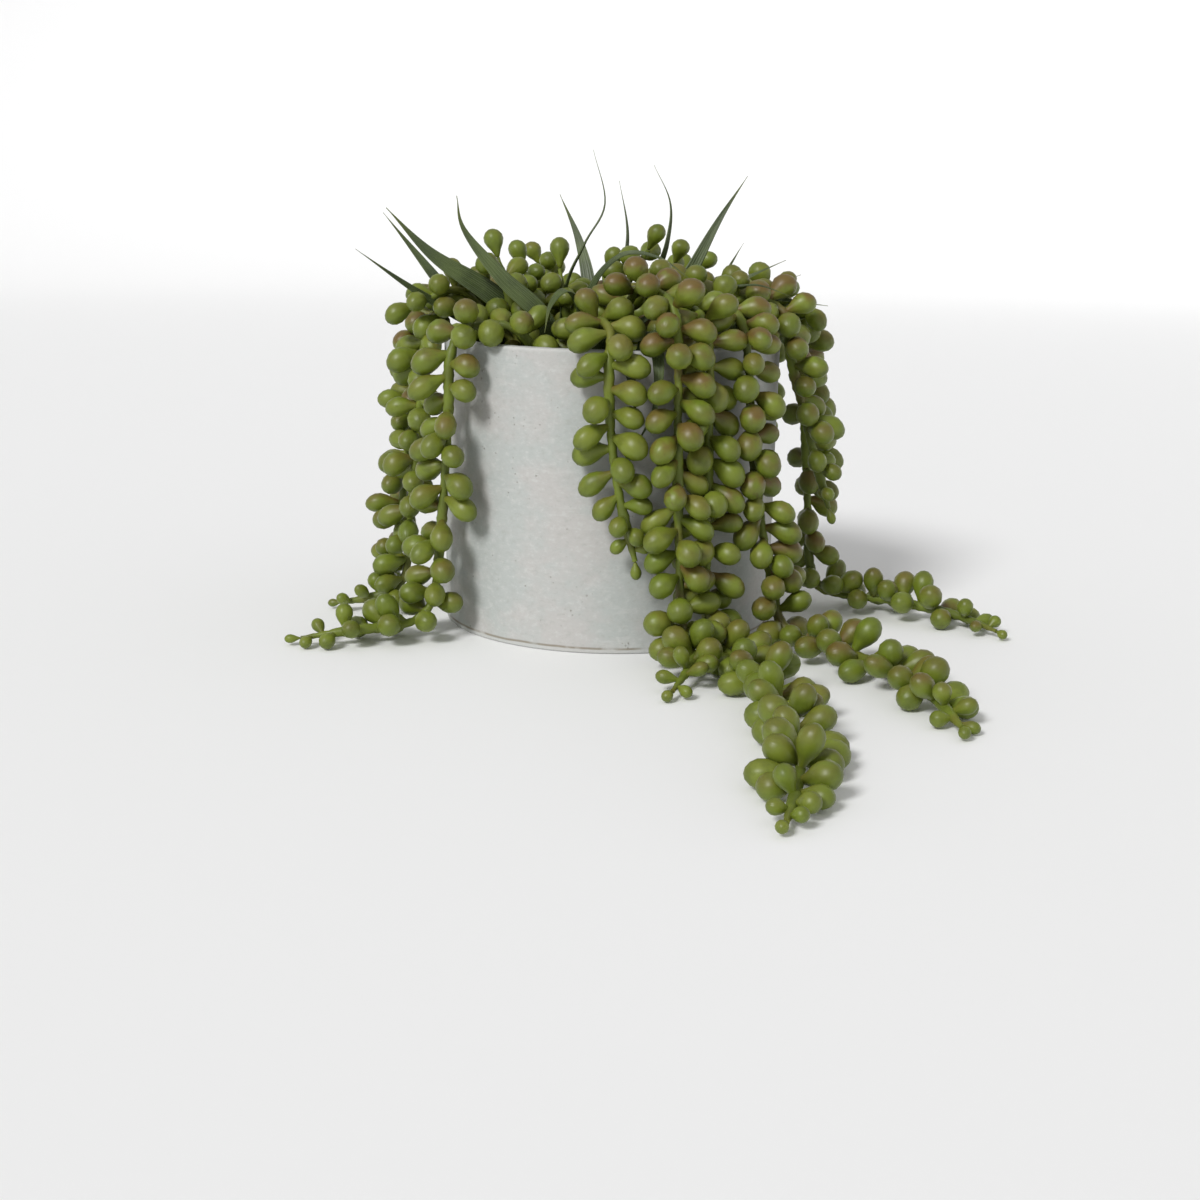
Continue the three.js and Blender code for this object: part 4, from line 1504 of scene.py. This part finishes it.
@dataclass
class Blade:
    """One grass blade: a thin ribbed sheet that swells from its root and runs out to a point."""

    plan: BladePlan
    thickness: float = 0.45 * MM
    edge_thickness: float = 0.12 * MM
    rib: float = 0.16 * MM
    ribs: float = 5.0
    fold: float = 0.10
    rows: int = 42
    columns: int = 20

    @staticmethod
    def outline(along: np.ndarray) -> np.ndarray:
        """The blade's width from root, 0, to tip, 1, as a share of its widest."""
        swell = 0.55 + 0.45 * np.sin(np.pi * np.minimum(along / 0.9, 1))
        return np.maximum(swell * (1 - along**3), 0.04)

    def frames(self) -> tuple[np.ndarray, np.ndarray, np.ndarray, np.ndarray]:
        """Middle line, sideways and facing directions, and the share of the length, row by row."""
        route = self.plan.route()
        along = np.linspace(0, 1, self.rows + 1)
        middle = route.points(along * route.length)
        tangent = route.tangents(along * route.length)
        first = unit(np.array(self.plan.face, dtype=float))
        last = unit(np.array(self.plan.tip_face or self.plan.face, dtype=float))
        side = unit(np.cross(tangent, first + (last - first) * along[:, None]))
        angle = np.radians(self.plan.twist * along)[:, None]
        turned = side * np.cos(angle) + np.cross(tangent, side) * np.sin(angle)
        return middle, turned, np.cross(turned, tangent), along

    def build(self, material: bpy.types.Material) -> None:
        """Args:
            material: The grass finish.
        """
        middle, side, flat, along = self.frames()
        across = np.linspace(-1, 1, self.columns + 1)
        half = 0.5 * self.plan.width * MM * self.outline(along)
        relief = self.rib * np.cos(across * math.pi * self.ribs)[None, :] * self.outline(along)[:, None]
        widths = self.plan.width * MM * self.outline(along)
        cup = self.fold * (np.abs(across)[None, :] - 0.5) * widths[:, None]
        edge = np.sqrt(np.clip(1 - across**4, 0, 1))[None, :]
        thinned = np.clip(self.outline(along) * 2, 0.3, 1)[:, None]
        thick = (self.edge_thickness + self.thickness * edge) * thinned
        sheet = middle[:, None, :] + side[:, None, :] * (half[:, None] * across[None, :])[:, :, None]
        front = sheet + flat[:, None, :] * (relief + cup + thick / 2)[:, :, None]
        back = sheet + flat[:, None, :] * (relief + cup - thick / 2)[:, :, None]
        mesh = self.closed_sheet(front, back)
        mesh.materials.append(material)
        thing = show(self.plan.name, mesh)
        declare(thing, Slot.GRASS, self.plan.name)

    def closed_sheet(self, front: np.ndarray, back: np.ndarray) -> bpy.types.Mesh:
        """Joins two grids of points along their edges, with a UV map across and along.

        Args:
            front: Rows and columns of points on one side.
            back: The same on the other side.

        Returns:
            The mesh.
        """
        rows, columns = front.shape[0], front.shape[1]
        offset = rows * columns
        points = np.concatenate([front.reshape(-1, 3), back.reshape(-1, 3)])
        faces = []
        for r in range(rows - 1):
            for c in range(columns - 1):
                a, b = r * columns + c, r * columns + c + 1
                d, e = a + columns, b + columns
                faces.append([a, b, e, d])
                faces.append([offset + a, offset + d, offset + e, offset + b])
            left, right = r * columns, r * columns + columns - 1
            faces.append([left, left + columns, offset + left + columns, offset + left])
            faces.append([right, offset + right, offset + right + columns, right + columns])
        for c in range(columns - 1):
            low, high = c, (rows - 1) * columns + c
            faces.append([low, offset + low, offset + low + 1, low + 1])
            faces.append([high, high + 1, offset + high + 1, offset + high])
        mesh = make_mesh(self.plan.name, points, faces)
        corner = np.zeros(len(mesh.loops), dtype=np.int32)
        mesh.loops.foreach_get("vertex_index", corner)
        corner %= offset
        uv = np.stack([(corner % columns) / (columns - 1), (corner // columns) / (rows - 1)], axis=1)
        mesh.uv_layers.new(name="UVMap").data.foreach_set("uv", uv.astype(np.float32).ravel())
        return mesh


# ---------------------------------------------------------------- the plant


class Plant:
    """Every strand, sprig and grass blade, grown from one layout."""

    def __init__(self, pot: Pot, soil: Soil) -> None:
        """Lays the routes out and settles the leaves.

        Args:
            pot: The pot.
            soil: The soil.
        """
        habit = PearlHabit()
        bed = Bed(pot, soil, habit)
        laid = [(plan, plan.route(pot, soil), STRAND_BUD, plan.nodes()) for plan in STRANDS]
        laid += [(plan, plan.route(soil), SPRIG_BUD, (plan.name,)) for plan in SPRIGS]
        self.stems = [
            Stem(plan.name, route, plan.blush, bed.grow(route, bud, seed), seed, nodes)
            for seed, (plan, route, bud, nodes) in enumerate(laid, start=1)
        ]
        self.blades = [Blade(plan) for plan in BLADES]
        posts, radii = self.posts()
        bed.settle([stem.pearls for stem in self.stems], posts, radii)

    def posts(self) -> tuple[np.ndarray, np.ndarray]:
        """Balls along the stems and blades that the leaves keep clear of.

        Returns:
            Their middles and their radii.
        """
        lines = [(stem.route, stem.radius) for stem in self.stems]
        lines += [(blade.plan.route(), blade.plan.width * BLADE_POST * MM) for blade in self.blades]
        points = [route.points(route.spaced(POST_SPACING * MM)) for route, _ in lines]
        radii = [np.full(len(found), radius) for found, (_, radius) in zip(points, lines)]
        return np.concatenate(points), np.concatenate(radii)

    def build(self) -> None:
        """Builds every piece."""
        pearls = pearl_tree(PearlFinish().material())
        lines = stem_tree(StemFinish().material())
        for stem in self.stems:
            stem.build_stem(lines)
            stem.build_pearls(pearls)
        grass = GrassFinish().material()
        for blade in self.blades:
            blade.build(grass)


# ---------------------------------------------------------------- studio


@dataclass
class Studio:
    """Pale floor that sweeps up far away, one broad light from the upper left front, and the camera."""

    floor_radius: float = 2.6
    floor_segments: int = 96
    sweep: float = 1.2
    sweep_steps: int = 12
    key_strength: float = 2.35
    key_softness: float = 16.0
    key_azimuth: float = -34.0
    key_elevation: float = 38.0
    daylight: float = 0.46
    camera_place: tuple[float, float, float] = (-0.0032, -0.675, 0.169)
    camera_dip: float = 13.65
    camera_roll: float = 1.0
    sensor: float = 36.0
    lens: float = 48.0

    def build_floor(self) -> None:
        """Makes the floor, a flat disc whose far edge curves up to hide the horizon."""
        flat = [self.floor_radius * share for share in (0.25, 0.5, 0.75, 1.0)]
        rings = [(radius, 0.0) for radius in flat]
        for i in range(1, self.sweep_steps + 1):
            angle = math.pi / 2 * i / self.sweep_steps
            out, up = self.sweep * math.sin(angle), self.sweep * (1 - math.cos(angle))
            rings.append((self.floor_radius + out, up))
        segments = self.floor_segments
        points = [(0.0, 0.0, 0.0)]
        for radius, z in rings:
            for i in range(segments):
                angle = 2 * math.pi * i / segments
                points.append((radius * math.cos(angle), radius * math.sin(angle), z))
        faces = [[0, 1 + i, 1 + (i + 1) % segments] for i in range(segments)]
        for ring in range(len(rings) - 1):
            base = 1 + ring * segments
            for i in range(segments):
                j = (i + 1) % segments
                faces.append([base + i, base + segments + i, base + segments + j, base + j])
        mesh = bpy.data.meshes.new("studio_floor")
        mesh.from_pydata(points, [], faces)
        mesh.shade_smooth()
        mesh.materials.append(FloorFinish().material())
        show("studio_floor", mesh)

    def build_lights(self) -> None:
        """Makes a broad, soft key light and pale surroundings."""
        key = bpy.data.lights.new("key", "SUN")
        key.energy = self.key_strength
        key.angle = math.radians(self.key_softness)
        lamp = bpy.data.objects.new("key", key)
        azimuth, elevation = math.radians(self.key_azimuth), math.radians(self.key_elevation)
        level = math.cos(elevation)
        towards = Vector((level * math.sin(azimuth), -level * math.cos(azimuth), math.sin(elevation)))
        lamp.rotation_euler = (-towards).to_track_quat("-Z", "Y").to_euler()
        bpy.context.scene.collection.objects.link(lamp)
        world = bpy.data.worlds.new("pale_room")
        bpy.context.scene.world = world
        world.use_nodes = True
        canvas = Canvas(world.node_tree)
        pale = {"Color": (1.0, 1.0, 1.0), "Strength": self.daylight}
        light = canvas.node("ShaderNodeBackground", inputs=pale)
        canvas.add("ShaderNodeOutputWorld", inputs={"Surface": light})

    def build_camera(self) -> None:
        """Makes the camera, a little above the rim, looking down at the pot."""
        data = bpy.data.cameras.new("camera")
        data.sensor_width = self.sensor
        data.lens = self.lens
        data.clip_start = 0.01
        data.clip_end = 20.0
        camera = bpy.data.objects.new("camera", data)
        camera.location = self.camera_place
        pitch, roll = math.radians(90 - self.camera_dip), math.radians(self.camera_roll)
        turned = Euler((pitch, 0, 0)).to_matrix() @ Euler((0, 0, roll)).to_matrix()
        camera.rotation_euler = turned.to_euler()
        bpy.context.scene.collection.objects.link(camera)
        bpy.context.scene.camera = camera

    def build(self) -> None:
        """Builds the whole studio."""
        self.build_camera()
        self.build_floor()
        self.build_lights()
        bpy.context.scene.view_settings.view_transform = "Standard"


def main() -> None:
    """Builds the studio, the pot, the soil and the plant."""
    logging.basicConfig(level=logging.INFO, format="%(name)s %(message)s")
    Studio().build()
    pot = Pot()
    pot.build()
    soil = Soil(pot)
    soil.build()
    Plant(pot, soil).build()


if __name__ == "__main__":
    main()
